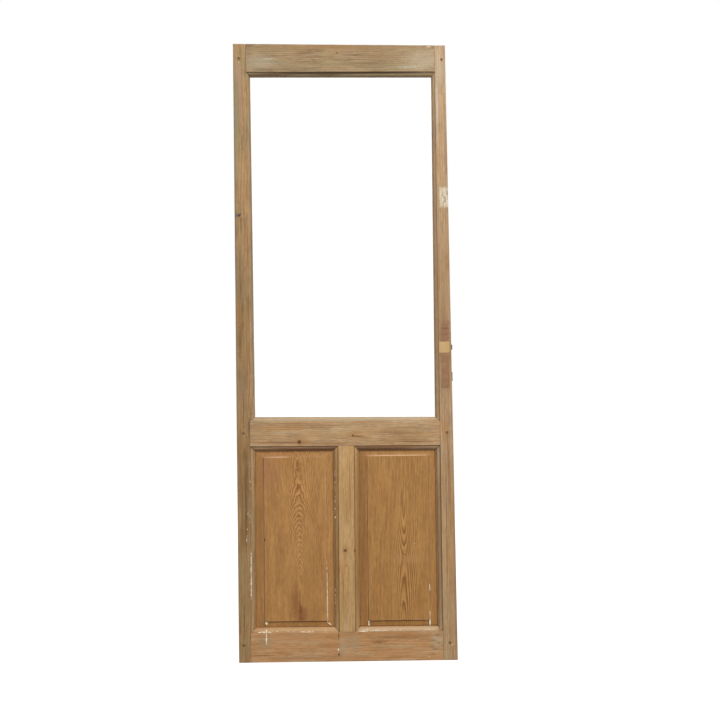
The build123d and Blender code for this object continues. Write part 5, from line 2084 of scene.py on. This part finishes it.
LEFT_NICKS = (
    Nick(616.6, 4.0, 1.2),
    Nick(1180.0, 9.0, 0.7),
    Nick(340.0, 6.0, 0.6),
    Nick(1622.0, 5.0, 0.6),
)
RIGHT_NICKS = (
    Nick(606.0, 3.0, 0.8),
    Nick(1210.0, 8.0, 0.7),
    Nick(260.0, 6.0, 0.6),
    Nick(1700.0, 5.0, 0.6),
)
PAINT_LINES = (
    PaintLine(((-64.4, -9.8, 332.0), (-63.3, -9.7, 220.0), (-62.5, -9.6, 120.0)), 3.0, 0.7, 1),
    PaintLine(((-62.5, -9.6, 121.0), (-50.0, -7.4, 112.0)), 2.6, 0.7, 2),
    PaintLine(((-44.0, -11.0, 104.0), (-34.0, -17.4, 96.5), (-27.0, -18.0, 88.0)), 2.4, 0.8, 10),
    PaintLine(((-303.2, -18.4, 352.0), (-304.2, -18.3, 197.0)), 2.8, 1.1, 3),
    PaintLine(((36.6, -18.3, 93.9), (65.1, -18.3, 93.9)), 3.4, 1.0, 4),
    PaintLine(((66.0, -17.7, 95.4), (130.0, -17.7, 95.2)), 1.3, 0.5, 14),
    PaintLine(((-150.0, -18.3, 94.2), (-106.0, -18.3, 94.0)), 2.8, 0.9, 5),
    PaintLine(((-284.0, -18.3, 94.6), (-240.0, -18.3, 94.4)), 2.8, 0.9, 6),
    PaintLine(((-256.4, -16.3, 104.0), (-256.4, -18.6, 93.0)), 3.6, 0.8, 11),
    PaintLine(((-256.4, -19.86, 93.0), (-256.4, -19.86, 55.5)), 3.4, 0.13, 12),
    PaintLine(((-257.0, -7.4, 115.0), (-257.4, -9.5, 130.0)), 5.4, 1.3, 13),
    PaintLine(((262.9, -9.7, 107.0), (263.0, -9.7, 130.0)), 5.0, 1.2, 7),
    PaintLine(((263.0, -9.7, 129.0), (263.0, -9.7, 153.6)), 2.6, 0.8, 17),
    PaintLine(((263.2, -9.7, 214.0), (263.3, -9.7, 240.0)), 2.4, 0.7, 8),
    PaintLine(((68.4, -6.7, 108.0), (68.6, -9.4, 125.5)), 5.0, 1.2, 9),
    PaintLine(((299.5, -16.0, 560.0), (299.7, -16.0, 548.0)), 1.4, 0.5, 15),
    PaintLine(((-29.2, -19.87, 34.0), (-29.2, -19.87, 43.0)), 3.0, 0.12, 16),
)
FLECK_RUNS = (
    FleckRun((-35.0, -15.2, 440.0), (-35.4, -15.2, 600.0), 16, 21),
    FleckRun((-37.2, -13.0, 150.0), (-37.6, -13.0, 240.0), 8, 22),
    FleckRun((-288.0, -17.4, 97.0), (-30.0, -17.4, 97.0), 14, 23),
    FleckRun((40.0, -17.2, 98.0), (292.0, -17.2, 97.4), 22, 24),
    FleckRun((-318.0, -19.87, 360.0), (-312.0, -19.87, 470.0), 7, 25),
    FleckRun((-305.0, -18.4, 400.0), (-304.5, -18.4, 640.0), 12, 26),
    FleckRun((-280.0, -16.8, 763.0), (280.0, -16.8, 759.5), 9, 27),
)


# The leaf


@dataclass
class DoorLeaf:
    """The whole leaf: its members, panels, glazing, pegs, and the old lock's parts."""

    lines: LeafLines = field(default_factory=LeafLines)

    def _zones(self) -> dict[str, tuple[Zone, ...]]:
        """Work out where each member's mouldings start, end and meet."""
        lines = self.lines
        left_low, left_high = 1.16, 0.90
        right_low, right_high = 1.07, 0.80
        middle, top = 0.97, 1.01
        uprights = {
            "left": lines.left_joint,
            "muntin_left": lines.muntin_left,
            "muntin_right": lines.muntin_right,
            "right": lines.right_joint,
        }
        levels = {
            "foot": (lines.bottom_joint, 92.0),
            "head": (lines.middle_low, 682.0),
            "low": (lines.middle_high, 760.0),
            "high": (lines.top_joint, 1882.0),
        }

        def cross(level: str, upright: str) -> Span:
            """Find where a level line and an upright one cross, close to the level's height."""
            line, height = levels[level]
            x = float(on_line(uprights[upright], height))
            return x, float(on_line(line, x))

        low_left, low_right = (cross("low", upright) for upright in ("left", "right"))
        high_left, high_right = (cross("high", upright) for upright in ("left", "right"))
        foot_left, foot_a, foot_b, foot_right = (cross("foot", upright) for upright in uprights)
        head_left, head_a, head_b, head_right = (cross("head", upright) for upright in uprights)
        glazed, panel = Stuck.GLAZED, Stuck.PANEL
        # The last number of each zone darkens its crevices: dirty wood plus painted shade, strongest on the
        # top rail and under the middle rail, which face down, and on the right stile, which faces left.
        return {
            "stile_left": (
                Zone(panel, foot_left[1], head_left[1], soil_and_shade=0.4),
                Zone(glazed, low_left[1], high_left[1], (left_low, left_high), (middle, top), 0.12),
            ),
            "stile_right": (
                Zone(panel, foot_right[1], head_right[1], soil_and_shade=0.8),
                Zone(glazed, low_right[1], high_right[1], (right_low, right_high), (middle, top), 0.55),
            ),
            "top_rail": (Zone(glazed, high_left[0], high_right[0], (top, top), (left_high, right_high)),),
            "middle_high": (
                Zone(glazed, low_left[0], low_right[0], (middle, middle), (left_low, right_low), 0.25),
            ),
            "middle_low": (Zone(panel, head_left[0], head_a[0]), Zone(panel, head_b[0], head_right[0])),
            "bottom_rail": (
                Zone(panel, foot_left[0], foot_a[0], soil_and_shade=0.3),
                Zone(panel, foot_b[0], foot_right[0], soil_and_shade=0.4),
            ),
            "muntin_left": (Zone(panel, foot_a[1], head_a[1], soil_and_shade=0.75),),
            "muntin_right": (Zone(panel, foot_b[1], head_b[1], soil_and_shade=0.7),),
        }

    def members(self) -> list[Member]:
        """List the stiles, the rails and the muntin."""
        lines, zones = self.lines, self._zones()
        fall = -lines.top_fall / (lines.width - lines.right_top_trim)

        def between(carrying: tuple[Zone, ...]) -> Span:
            """Give the run of a member that ends a hair short of the two that hold it."""
            return carrying[0].start + END_GAP, carrying[-1].end - END_GAP

        return [
            Member(
                "stile_left",
                Grain.UPRIGHT,
                near=Side(lines.left_edge, (), 1.3, 0.7, LEFT_NICKS),
                far=Side(lines.left_joint, zones["stile_left"]),
                run=(END_GAP, lines.height - END_GAP),
                seed=11,
                finish=STILE_LEFT,
                slot="stile_wood",
                end_worn=1.1,
                crown=fall,
                crown_from=-lines.half,
            ),
            Member(
                "stile_right",
                Grain.UPRIGHT,
                near=Side(lines.right_joint, zones["stile_right"]),
                far=Side(lines.right_edge, (), 1.3, 0.7, RIGHT_NICKS),
                run=(END_GAP, lines.height - lines.top_fall - END_GAP),
                seed=12,
                finish=STILE_RIGHT,
                slot="stile_wood",
                end_worn=1.1,
                crown=fall,
                crown_from=lines.half - lines.right_top_trim,
            ),
            Member(
                "top_rail",
                Grain.ACROSS,
                near=Side(lines.top_joint, zones["top_rail"]),
                far=Side(lines.top_edge, (), 1.1, 0.5),
                run=between(zones["top_rail"]),
                seed=13,
                finish=TOP_RAIL,
                slot="rail_wood",
            ),
            Member(
                "middle_rail",
                Grain.ACROSS,
                near=Side(lines.middle_low, zones["middle_low"]),
                far=Side(lines.middle_high, zones["middle_high"]),
                run=between(zones["middle_high"]),
                seed=14,
                finish=MIDDLE_RAIL,
                slot="rail_wood",
            ),
            Member(
                "bottom_rail",
                Grain.ACROSS,
                near=Side(((-310.0, 310.0), (END_GAP, END_GAP)), (), 1.3, 0.6),
                far=Side(lines.bottom_joint, zones["bottom_rail"]),
                run=between(zones["bottom_rail"]),
                seed=15,
                finish=BOTTOM_RAIL,
                slot="rail_wood",
            ),
            Member(
                "muntin",
                Grain.UPRIGHT,
                near=Side(lines.muntin_left, zones["muntin_left"]),
                far=Side(lines.muntin_right, zones["muntin_right"]),
                run=between(zones["muntin_left"]),
                seed=16,
                finish=MUNTIN,
                slot="muntin_wood",
            ),
        ]

    def panels(self) -> list[RaisedPanel]:
        """List the two raised panels."""
        return [
            RaisedPanel(
                "panel_left",
                seat=(-290.0, -39.25, 107.0, 666.5),
                margins=(29.0, 24.5, 19.0, 20.0),
                seed=31,
                finish=FIELD_LEFT,
            ),
            RaisedPanel(
                "panel_right",
                seat=(40.75, 286.5, 107.0, 666.5),
                margins=(28.0, 24.5, 17.0, 19.0),
                seed=32,
                finish=FIELD_RIGHT,
            ),
        ]

    def build(self) -> None:
        """Make every piece, dress it and tie it to the frame."""
        joinery = Joinery(self.lines)
        tools = {
            "stile_left": joinery.stile_tools(-1) + LeftEdge(self.lines).tools(),
            "stile_right": joinery.stile_tools(1) + LockRoom(self.lines).tools(),
            "top_rail": joinery.rail_tools(0),
            "middle_rail": joinery.rail_tools(1),
            "bottom_rail": joinery.rail_tools(2),
        }
        for member in self.members():
            piece = worked(member.build(), tools.get(member.name, []))
            self._fit(piece, member.name, member.slot, member.finish.build())
        for panel in self.panels():
            self._fit(panel.build(), panel.name, panel.slot, panel.finish.build())
        self._glaze()
        self._fit(joinery.pegs(), "tenon_pegs", "peg_wood", PEG_OAK.build(), 30.0)
        self._paint()
        self._dress_frame()

    @staticmethod
    def _fit(
        piece: Thing, node: str | None, slot: str | None, material: bpy.types.Material, angle: float = 42.0
    ) -> None:
        """Give a piece its finish, tie it to the body, and hide the node that it stands for.

        Args:
            piece: the piece.
            node: the node of the frame that it takes the place of, or None.
            slot: the node's material slot, or None; not used.
            material: the piece's finish.
            angle: edges sharper than this stay hard.
        """
        smooth_shaded(piece, angle)
        piece.data.materials.clear()
        piece.data.materials.append(material)
        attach(piece, ROOT)
        if node:
            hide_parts(node)
        LOG.info("%s: %d faces", piece.name, len(piece.data.polygons))

    def _glaze(self) -> None:
        """Make the bedding, the glass and the beads."""
        glazing = Glazing(self.lines)
        self._fit(glazing.build_bedding(), "glazing_bedding", "putty", OLD_PUTTY.build())
        self._fit(glazing.build_glass(), "glass_pane", "glass", SheetGlass().build(), 30.0)
        upright, across = BEAD_PINE.build(), RAIL_BEAD_PINE.build()
        for side, bead in glazing.build_beads().items():
            material = upright if side in ("left", "right") else across
            self._fit(bead, f"bead_{side}", "bead_wood", material)

    def _paint(self) -> None:
        """Make the ridges of old paint that the stripping left."""
        shell = Shell()
        for line in (*PAINT_LINES, *(fleck for run in FLECK_RUNS for fleck in run.lines())):
            shell.add_tube(line.rings())
        self._fit(shell.build("old_paint"), None, None, OLD_PAINT.build(), 180.0)

    def _dress_frame(self) -> None:
        """Give their finishes to the parts that are shown as they were drawn."""
        iron, steel = OLD_IRON.build(), SCREW_STEEL.build()
        finishes = {
            "tenon_wedges": WEDGE_OAK.build(),
            "spindle_patch": PATCH_WOOD.build(),
            "bead_pins": steel,
            "forend_screws": steel,
            "lock_case": iron,
            "lock_forend": iron,
            "latch_tongue": iron,
            "lock_bolt": iron,
            "cut_nail": iron,
        }
        for name, material in finishes.items():
            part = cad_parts[name]
            part.data.materials.clear()
            part.data.materials.append(material)


def main() -> None:
    """Build the leaf and its studio."""
    logging.basicConfig(level=logging.INFO, format="%(name)s: %(message)s")
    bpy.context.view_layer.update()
    DoorLeaf().build()
    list(Studio().build())
    Viewpoint().build()


if __name__ == "__main__":
    main()
